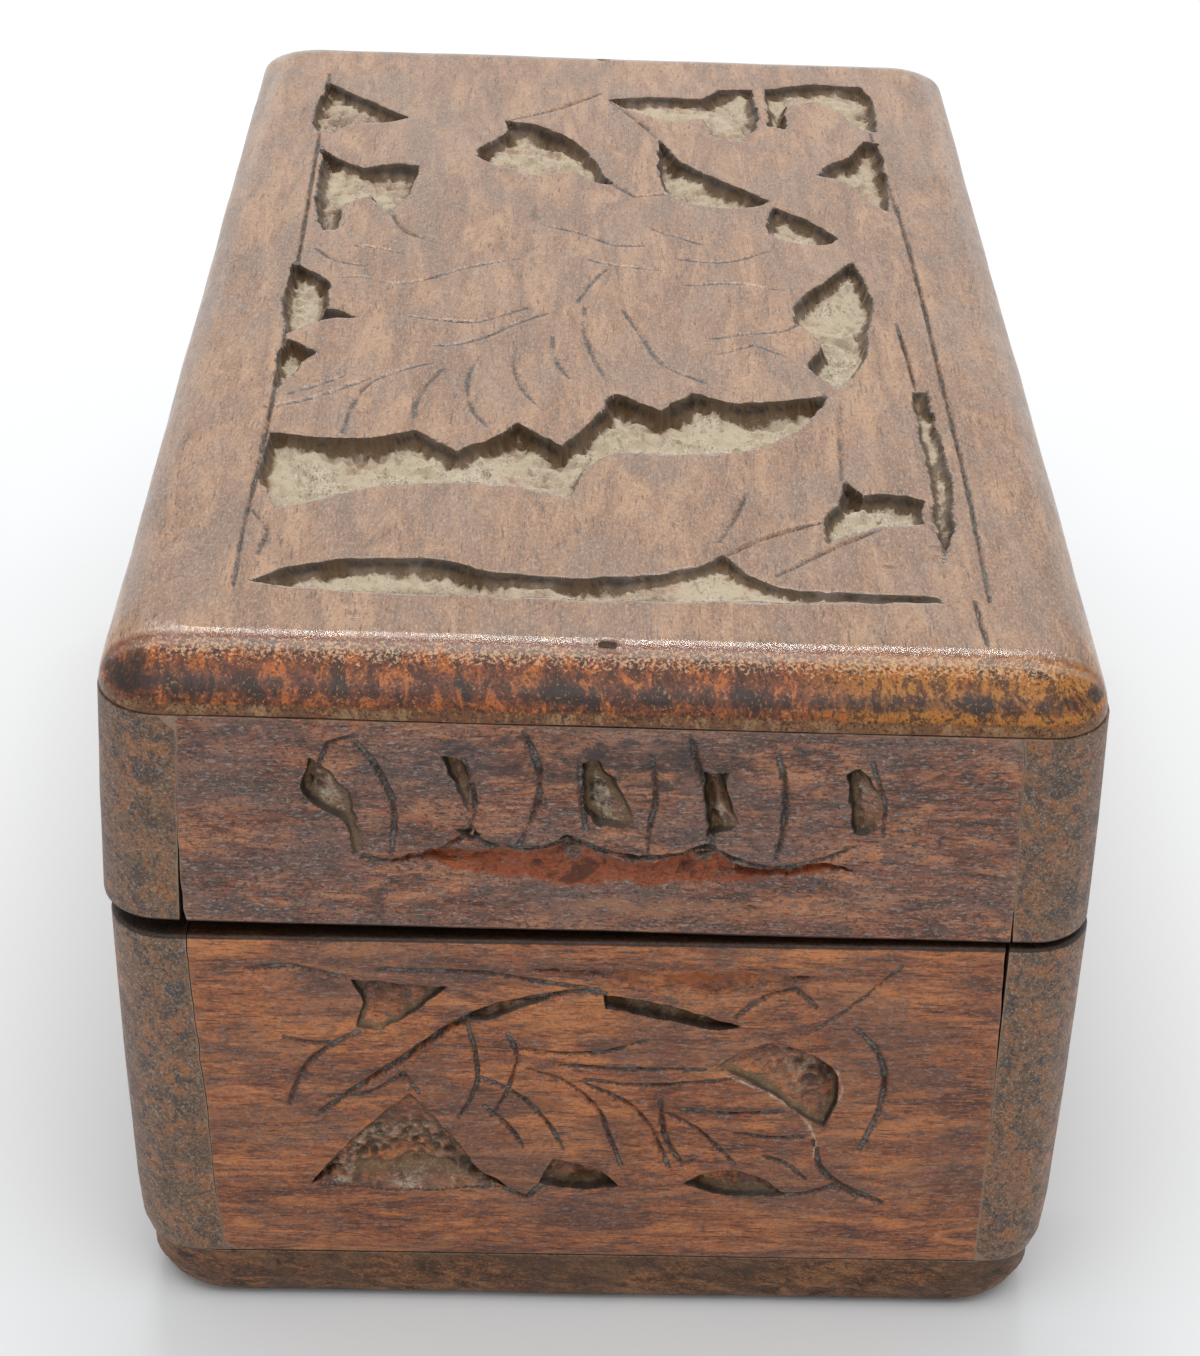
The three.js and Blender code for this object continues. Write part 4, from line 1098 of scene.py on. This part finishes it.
flower_pockets = [
    {"depth": 2.1, "shallow": 0.9, "deep_end": (-1, 0), "dust": 0.85, "outline": [
        (-32, -66), (-28.5, -63.2), (-24, -61.7), (-19, -61.1), (-15, -61.4), (-10, -63.3),
        (-4, -63.9), (2, -63.4), (7, -61.9), (11, -59), (13, -62.6), (16, -64.6), (22, -65.3),
        (30, -65.6), (30.3, -66.7), (14, -67.4), (-6, -67.8), (-20, -67.4), (-29, -66.8)]},
    {"depth": 2.3, "dust": 1, "outline": [
        (-33.2, -36.2), (-27, -37), (-22, -36.6), (-19, -34.9), (-14.8, -39.4), (-11, -36),
        (-8.6, -32.8), (-4.4, -37.8), (-0.8, -30), (0.8, -25.2), (5.4, -29), (9, -24.6),
        (13, -26.6), (22.5, -24.6), (21, -29), (16, -35.7), (11, -38), (1, -38.2), (-2, -42.5),
        (-3.6, -48.1), (-8, -46.4), (-15, -45.7), (-22, -47), (-26, -49), (-30.8, -52.2),
        (-33, -46)]},
    {"depth": 2.3, "dust": 1, "outline": [
        (27.8, 10.5), (29, 1), (28.3, -7), (26.4, -18), (23.8, -22.6), (21.2, -17), (22.8, -12),
        (20.2, -5), (22, 1), (25.5, 6.5)]},
    {"depth": 2.2, "dust": 0.9, "outline": [
        (-34.2, 6), (-30.2, 0.5), (-29.8, -6.3), (-26, -8.5), (-30, -9.6), (-33.4, -13.3),
        (-34.5, -6)]},
    {"depth": 1.7, "dust": 0.95, "outline": [
        (-33.4, -14.5), (-29.8, -17.3), (-31.5, -21), (-33.3, -26.5), (-33.9, -20)]},
    {"depth": 2.2, "dust": 0.65, "outline": [
        (-33.9, 41), (-32.1, 37.2), (-28.5, 34.3), (-25.2, 35.6), (-21.9, 35.4), (-22.7, 27.5),
        (-24.6, 20.8), (-27.2, 26), (-29.8, 23), (-30.2, 15), (-31.8, 14.7), (-33.2, 23)]},
    {"depth": 2.2, "dust": 0.6, "outline": [
        (-35, 63.4), (-31.8, 59.6), (-27.4, 54.8), (-24, 51.3), (-27.1, 49.6), (-31.1, 49.6),
        (-33.4, 45), (-34.9, 46.5)]},
    {"depth": 2.3, "dust": 0.75, "outline": [
        (-15.6, 39), (-14.2, 43.4), (-12.1, 46.5), (-12, 51.7), (-8, 49.9), (-4.2, 45.8),
        (-1.3, 38.9), (1, 31.5), (-0.8, 32), (-3.6, 35.6), (-8.7, 33.4), (-12.6, 36.4)]},
    {"depth": 2.3, "dust": 0.85, "outline": [
        (6.5, 46.8), (9.8, 38.5), (13.8, 34), (19.1, 27.9), (17.6, 26.2), (11.4, 26), (7.7, 29.2),
        (6.6, 36)]},
    {"depth": 2.2, "dust": 0.9, "outline": [
        (19.9, 26.2), (22.4, 23.6), (26.7, 16.9), (25.4, 15.6), (22.4, 15.4), (19.4, 17.5),
        (18.7, 22.4)]},
    {"depth": 1.7, "dust": 0.75, "outline": [
        (0.5, 59.9), (6.2, 61.2), (12.4, 61), (14.6, 64.6), (18.8, 65), (18.7, 51.7), (16.3, 46.4),
        (13.6, 48.6), (12.3, 54.1), (8.3, 53), (4.3, 55.6)]},
    {"depth": 1.7, "dust": 0.75, "outline": [
        (20.4, 65.2), (25.8, 67.4), (32.8, 67.4), (33.8, 62.4), (33.7, 51.4), (31.8, 52.4),
        (29.6, 58.1), (26.8, 61.7), (22.8, 59.7), (22.4, 51.4), (20.4, 52.4)]},
    {"depth": 2.2, "dust": 0.8, "outline": [
        (31.8, 48.2), (33.6, 47.4), (33.6, 37.2), (32.8, 25.6), (30.5, 30.1), (28.8, 34.6),
        (25.3, 36.5), (26.8, 39.6), (29.8, 42.9)]},
    {"depth": 2.2, "dust": 0.95, "outline": [
        (23.2, -43.2), (24.4, -46.2), (28, -45.8), (30.3, -46.6), (30, -51.4), (25, -52.6),
        (20.6, -56), (20.8, -51.6), (22.2, -47)]},
    {"depth": 1.1, "dust": 0.9, "outline": [
        (31.3, -23), (32.9, -23), (33.4, -40.7), (32.6, -52), (31.2, -59), (31.3, -42.9)]},
]
border_scores = [
    [(-33.4, -67.1), (-33.6, -57.5), (-33.4, -37), (-33.9, 5.7), (-34.4, 35), (-35, 66.1)],
    [(34.5, -66.2), (34.8, -50.9), (34.7, -17.8), (34.3, 19.6), (32.8, 51.4)],
    [(33.2, -66), (33.3, -70), (33.5, -74)],
    [(31.8, -23), (31.6, -14), (31.2, -6)],
]
leaf_scores = [
    [(15.5, -62.5), (22, -56), (25.5, -53)],
    [(30.5, -51.5), (31.4, -54), (31.8, -58)],
    [(24, -27), (23.5, -30), (22.8, -43)],
    [(10.5, -56.5), (12.5, -50), (13.5, -46)],
    [(-33.2, -52.5), (-31.5, -56), (-31.8, -61)],
    [(11, -59), (14.5, -55.5), (20.6, -51.6)],
    [(-24.5, 20.8), (-22.5, 15.5), (-19, 12.5)],
    [(1, 31.5), (3.5, 28), (7.7, 29.2)],
    [(-0.5, 62), (-6, 56), (-12, 51.7)],
    [(6.5, 46.8), (4, 53), (0.5, 59.9)],
]
petal_veins = [
    [(-25.9, -35.9), (-25.4, -30.2), (-24, -24.5), (-21.5, -21.7), (-18, -19.3)],
    [(-19.1, -32.2), (-18.9, -28.2), (-18.2, -24.6), (-16.8, -20.8)],
    [(-11.7, -33.7), (-13.1, -30.8), (-14, -26.3), (-13.9, -21.1), (-13.1, -17.3)],
    [(-6.3, -29.4), (-8.1, -25.9), (-9.3, -20.8), (-9.4, -13.3)],
    [(-3.7, -22), (-5.1, -17.9), (-5.6, -11.9)],
    [(-33.9, -30.7), (-29.7, -28.4), (-24.1, -23.4)],
    [(-32, -27.6), (-26.8, -23.1)],
    [(-2.2, -4.3), (-2.3, -10), (-1.4, -16), (0.2, -22.8)],
    [(-17.8, -15), (-15.3, -14.3), (-12.3, -12.1), (-9.6, -8.8), (-6.2, -6)],
    [(-21.1, -7.7), (-17.4, -8.5), (-13.8, -8.6), (-10.9, -6.6), (-8.5, -4.8)],
    [(-29.1, 1.9), (-26.3, 2.4), (-23.3, 0.9), (-20.4, 1.7), (-16.7, 4.7), (-12.9, 7.1), (-9.6, 8.6)],
    [(-32.1, 9.6), (-29.9, 6.7), (-26.4, 5.2)],
    [(-28.5, 10.9), (-26.1, 10.7), (-22.3, 8.9)],
    [(1.9, -4.8), (4, -11.8), (6, -18), (10.1, -22)],
    [(-7, 18.6), (-2.3, 16), (1.1, 13.3), (4.3, 13.2)],
    [(-1.7, 8.8), (1.1, 7.5), (5.9, 6.5)],
    [(5.5, 18.1), (8.4, 16.1), (10.9, 14.1)],
    [(-3.1, -3.2), (-0.6, 4.6), (0.2, 6.1)],
    [(11, -11.3), (14.8, -9.8), (18.7, -8.8), (21, -6.7)],
    [(11.7, -15.1), (15.8, -12.3), (18.9, -15.2)],
    [(9, 2.5), (14, 3.5), (19.5, 2)],
    [(8.5, 9.5), (13.5, 9.5), (18.5, 12.8)],
]
flower_lines = [{"depth": 0.4, "width": 0.55, "stain": 0.8, "line": score} for score in border_scores]
flower_lines += [{"depth": 0.3, "width": 0.85, "stain": 0.6, "line": score} for score in leaf_scores]
flower_lines += [{"depth": 0.2, "width": 0.9, "stain": 0.65, "line": vein} for vein in petal_veins]

# Small round marks on the top: nail heads sunk in their holes, filled beetle holes, a ring
# struck by a punch, and a pit in the ground
nail_place = 75.4
round_marks = [
    {"centre": (0, -nail_place), "radius": 0.75, "depth": 0.75},
    {"centre": (0, nail_place), "radius": 0.75, "depth": 0.75},
    {"centre": (25.8, -60.2), "radius": 0.8, "depth": 0.12, "dust": 0.5},
    {"centre": (-22.5, -71.5), "radius": 0.9, "depth": 0.08},
    {"centre": (30.5, -56), "radius": 0.55, "depth": 0.25},
]
eighth_turn = math.pi / 4
for mark in round_marks:
    x, y = mark["centre"]
    around = [(math.cos(eighth_turn * step), math.sin(eighth_turn * step)) for step in range(8)]
    mark["outline"] = [(x + mark["radius"] * dx, y + mark["radius"] * dy) for dx, dy in around]

top_plank = start_plank(
    "lid_top_plank",
    (-top_half_width, -top_half_length, lid_wall_top),
    (top_half_width, top_half_length, top_edge_height),
)
round_edges(top_plank, upright, corner_radius, corner_steps)
top_rings = []
for step in range(1, top_steps + 1):
    angle = step / top_steps * math.pi / 2
    share_x, share_y = [1 - math.cos(angle) ** (2 / power) for power in top_roundness]
    top_rings.append((
        top_edge_height + (top_height - top_edge_height) * math.sin(angle),
        top_half_width - top_drawn_in[0] * share_x,
        top_half_length - top_drawn_in[1] * share_y,
    ))
ease_face(top_plank, top_rings)
round_edges(top_plank, lambda middle, along: level_with(middle[:, 2], lid_wall_top),
            top_foot_rounding, top_foot_steps)
net_over(top_plank)
top_side = {
    "middle": np.array((0.0, 0, top_height)),
    "across": np.array((1.0, 0, 0)),
    "up": np.array((0.0, 1, 0)),
    "inward": np.array((0.0, 0, -1)),
}

# Its end grain shows only on the rounded ends. There a strip above the joint is lighter, the band
# over it is dark, and the right half is golden. The upper part is flecked pale, partly painted
# highlight where it turns up to the lamps, and a painted sheen lies along it below the crease.
top_grain_from = 74.2
top_grain_reach = 1.5
skirt_height = 1.7
shaded_height = 2.6
golden_from = 8
flecks_and_glints_from = 3.2
painted_sheen_at = 76.2
crease_at = (41.4, 75)
crease_half_width = 0.9


def band(values, middle, half_width):
    """1 along the middle of a band and 0 well outside it."""
    return np.clip(1.3 - np.abs(values - middle) / half_width, 0, 1)


cuts = flower_pockets + round_marks
marks = carve(top_plank, top_side, cuts, flower_lines, 900, ledge=1.5, batter=0.75, ragged=0.26)
places = corners_of(top_plank)
x, y, z = places.T
from_middle_x, from_middle_y = np.abs(x), np.abs(y)
above_joint = z - lid_wall_top
marks["rim"] = np.clip(1 - above_joint / edge_reach, 0, 1)
across_grain = grows(np.abs(outward_of(top_plank)[:, 1]), 0.1, 0.2)
marks["end_grain"] = grows(from_middle_y, top_grain_from, top_grain_reach) * across_grain
marks["skirt"] = marks["end_grain"] * grows(above_joint, skirt_height, -0.6)
marks["shaded"] = marks["end_grain"] * band(above_joint, shaded_height, 1.1)
marks["golden"] = marks["end_grain"] * grows(x, golden_from, 16)
marks["upper"] = marks["end_grain"] * grows(above_joint, flecks_and_glints_from, 1.2)
marks["haze"] = band(from_middle_y, painted_sheen_at, 1.2) * across_grain
crease_x = np.abs(from_middle_x - crease_at[0]) / crease_half_width
crease_y = np.abs(from_middle_y - crease_at[1]) / crease_half_width
marks["polished"] = np.clip(1.4 - np.minimum(crease_x, crease_y), 0, 1)
marks["inner"] = (from_middle_x < inner_half_width) * (from_middle_y < inner_half_length)
marks["inner"] = marks["inner"] * (above_joint < 0.05)
marks["rim"] *= 1 - marks["inner"]
top_spots = {
    "worn": [
        (-8, -54, 24, 9, 0.7), (-5, -20, 26, 16, 0.6), (10, -5, 16, 14, 0.5),
        (0, 10, 24, 18, 0.5), (0, -71, 44, 3.4, 0.9)],
    "smudge": [
        (-38, 0, 5, 74, 0.4), (39, 0, 5, 74, 0.5), (0, 73, 44, 5, 0.5), (14, -50, 9, 7, 0.35),
        (8, 8, 3.4, 1.4, 0.8), (14, 4, 1.8, 24, 0.6), (-8, 12, 2, 28, 0.6), (-12, 12, 9, 5, 0.4),
        (0, 24, 30, 6, 0.35), (-42, -79, 7, 6, 1)],
}
paint_on(marks, places, top_side, top_spots)
places[:, 0] += lid_shift
move_corners(top_plank, places)
keep_marks(top_plank, marks)
age(top_plank, 950, 0.07)
to_metres(top_plank, lid_pose)
top_layers = [
    (None, "fibres", 0, 0.52, 0.66, 0.28, "6d4936"),
    (None, "fibres", 0, 0.44, 0.36, 0.3, "c2936e"),
    (None, "pores", 0, 0.64, 0.68, 0.6, "44322a"),
    (None, "clouds", 0, 0.44, 0.62, 0.45, "8a7567"),
    (None, "blotches", 0, 0.54, 0.64, 0.3, "7b6253"),
    ("worn", "blotches", 2, 0.8, 1.5, 0.7, "c68d5f"),
    ("smudge", "blotches", 2, 0.7, 1.3, 0.6, "66574e"),
    (None, "grit", 0, 0.54, 0.64, 0.5, "5d4638"),
    # Pale specks over the top: dust, and painted glints of the lamps
    (None, "flecks", 0, 0.5, 0.62, 0.45, "c9b5a2"),
    ("end_grain", "blotches", 0.5, 0.3, 0.7, 0.95, "763a1a"),
    ("end_grain", "blotches", -3, 1.1, 1.25, 0.8, "b86429"),
    ("golden", "blotches", 2, 0.5, 1.1, 0.7, "c4812b"),
    ("end_grain", "blotches", 3, 1.1, 1.25, 0.8, "45200d"),
    ("end_grain", "streaks", 3, 1.1, 1.35, 0.7, "2a1307"),
    ("shaded", "blotches", 2, 0.75, 1.15, 0.7, "4d210d"),
    ("shaded", "streaks", 3, 0.8, 1.2, 0.8, "1c0e06"),
    ("skirt", "blotches", 1, 0.4, 0.8, 0.8, "6f4a2f"),
    ("skirt", "streaks", 3, 1.0, 1.3, 0.7, "a37d58"),
    ("end_grain", "grit", 2.5, 1.1, 1.3, 0.8, "2a1509"),
    # Pale flecks on the upper end grain: the wood's own, and painted highlight where it turns up to
    # the lamps
    ("upper", "grit", -3, 0.88, 1.25, 0.8, "d9b48f"),
    ("end_grain", "grit", -3, 1.3, 1.45, 0.5, "c98f57"),
    ("smudge", "clouds", 1.5, 0.8, 1.1, 0.8, "2c1c12"),
    # A painted sheen, pale lilac-grey, along the rounded end just below the crease
    ("haze", "grit", 1.5, 0.7, 1.3, 0.45, "bfaca0"),
    ("inner", "blotches", 1, 0.4, 0.9, 0.85, "7d5638"),
    ("inner", "streaks", 2, 0.9, 1.2, 0.6, "573a26"),
] + wear_layers[1:] + [
    # Grime on the walls of the top's pockets, laid darkest high up as painted shade
    ("grime", "grit", 1.2, 0.25, 0.8, 0.9, "554331"),
    ("grime", "grit", 2.5, 1.7, 3.0, 0.8, "241b13"),
    ("grime", "blotches", 5, 1.9, 3.3, 0.8, "17110c"),
] + dust_layers
top_finish = waxed_sheesham(
    "hand_polished_sheesham", 1, ("8b684f", "a2785a", "b98e6b"), top_layers, 0.32, 0.02,
    sheen=0.1, streaks=(3, 6, 16), tilt=-12)
top_plank.data.materials.append(top_finish)
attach(top_plank, "lid")
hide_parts("lid_top_board")

# The hinges: two small butt hinges of rolled brass, screwed into the rims of the back walls.
# Brass that is handled but not polished goes brown. The hinges' pins and the nails are iron.
tarnish_width = 1.1


def old_metal(name, tones, roughness):
    """Metal under a patchy skin of tarnish or rust, in dark, middle and bright tones."""
    finish = bpy.data.materials.new(name)
    finish.use_nodes = True
    tree = finish.node_tree
    shader = tree.nodes["Principled BSDF"]
    place = add_node(tree, "ShaderNodeTexCoord").outputs["Object"]
    settings = {"Scale": 1 / (tarnish_width * millimetre), "Detail": 6, "Roughness": 0.65}
    skin = add_node(tree, "ShaderNodeTexNoise", settings, {"Vector": place}).outputs["Fac"]
    dark, middle, bright = [linear(tone) for tone in tones]
    stops = [(0.36, dark), (0.66, bright), (0.5, middle)]
    colour = add_node(tree, "ShaderNodeValToRGB", links={0: skin}, stops=stops)
    tree.links.new(colour.outputs[0], shader.inputs["Base Color"])
    settings = {"From Min": 0.35, "From Max": 0.65, "To Min": roughness[0], "To Max": roughness[1]}
    dull = add_node(tree, "ShaderNodeMapRange", settings, {"Value": skin})
    tree.links.new(dull.outputs[0], shader.inputs["Roughness"])
    settings = {"Strength": 0.5, "Distance": 0.05 * millimetre}
    bump = add_node(tree, "ShaderNodeBump", settings, {"Height": skin})
    tree.links.new(bump.outputs[0], shader.inputs["Normal"])
    shader.inputs["Metallic"].default_value = 1
    return finish


aged_brass = old_metal("aged_brass", ("4d3c22", "8a6f3c", "b8985a"), (0.6, 0.35))
rusted_iron = old_metal("rusted_iron", ("2c2320", "4a3a31", "6a5648"), (0.8, 0.55))
for node_name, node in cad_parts.items():
    if "hinge" in node_name or "nail" in node_name:
        is_iron = "pin" in node_name or "nail" in node_name
        metal = rusted_iron if is_iron else aged_brass
        node.data.materials.clear()
        node.data.materials.append(metal)

# The floor is a white painted board, as on a shop's light table. Sizes from here on are in metres.
floor_size = 6
bpy.ops.object.select_all(action="DESELECT")
bpy.ops.mesh.primitive_plane_add(size=floor_size, location=(0, 0, 0))
floor = bpy.context.object
floor.name = "floor"
floor_finish = bpy.data.materials.new("white_painted_board")
floor_finish.use_nodes = True
floor_shader = floor_finish.node_tree.nodes["Principled BSDF"]
floor_shader.inputs["Base Color"].default_value = linear("f4f4f4")
floor_shader.inputs["Roughness"].default_value = 0.8
floor.data.materials.append(floor_finish)

# The room is white. It lights the box at the strength of fill, and it is seen, directly or
# mirrored, at full strength.
world = bpy.data.worlds.new("white_room")
bpy.context.scene.world = world
world.use_nodes = True
room = world.node_tree.nodes["Background"]
room.inputs["Color"].default_value = linear("f4f9fc")
fill = 0.6
path = add_node(world.node_tree, "ShaderNodeLightPath").outputs
settings = {"operation": "MAXIMUM"}
links = {0: path["Is Camera Ray"], 1: path["Is Glossy Ray"]}
seen_directly = add_node(world.node_tree, "ShaderNodeMath", settings, links).outputs[0]
links = {0: seen_directly, 1: path["Is Transmission Ray"]}
seen_directly = add_node(world.node_tree, "ShaderNodeMath", settings, links).outputs[0]
settings = {"operation": "MULTIPLY_ADD", 1: 1 - fill, 2: fill}
strength = add_node(world.node_tree, "ShaderNodeMath", settings, {0: seen_directly}).outputs[0]
world.node_tree.links.new(strength, room.inputs["Strength"])

# The camera stands before the near end and looks down on it
camera_data = bpy.data.cameras.new("camera")
camera_data.sensor_fit = "VERTICAL"
camera_data.sensor_height = 36
camera_data.lens = 79.646
camera = bpy.data.objects.new("camera", camera_data)
bpy.context.scene.collection.objects.link(camera)
camera.location = (-0.003436, -0.301233, 0.204819)
camera.rotation_euler = [math.radians(a) for a in (58.9524, -1.1780, -0.0297)]
bpy.context.scene.camera = camera

# A narrow softbox hangs high behind the box, and a wide light higher still before its near end
lit_point = Vector((0, 0, 0.03))
for name, size, energy, place in (
    ("softbox", (0.5, 0.02), 2.8, (0, 0.44, 0.745)),
    ("ceiling_light", (0.9, 0.6), 3.3, (0, -0.36, 1.02)),
):
    light_data = bpy.data.lights.new(name, "AREA")
    light_data.shape = "RECTANGLE"
    light_data.size, light_data.size_y = size
    light_data.energy = energy
    light = bpy.data.objects.new(name, light_data)
    bpy.context.scene.collection.objects.link(light)
    light.location = place
    light.rotation_euler = (lit_point - light.location).to_track_quat("-Z", "Y").to_euler()

bpy.context.scene.view_settings.view_transform = "Standard"
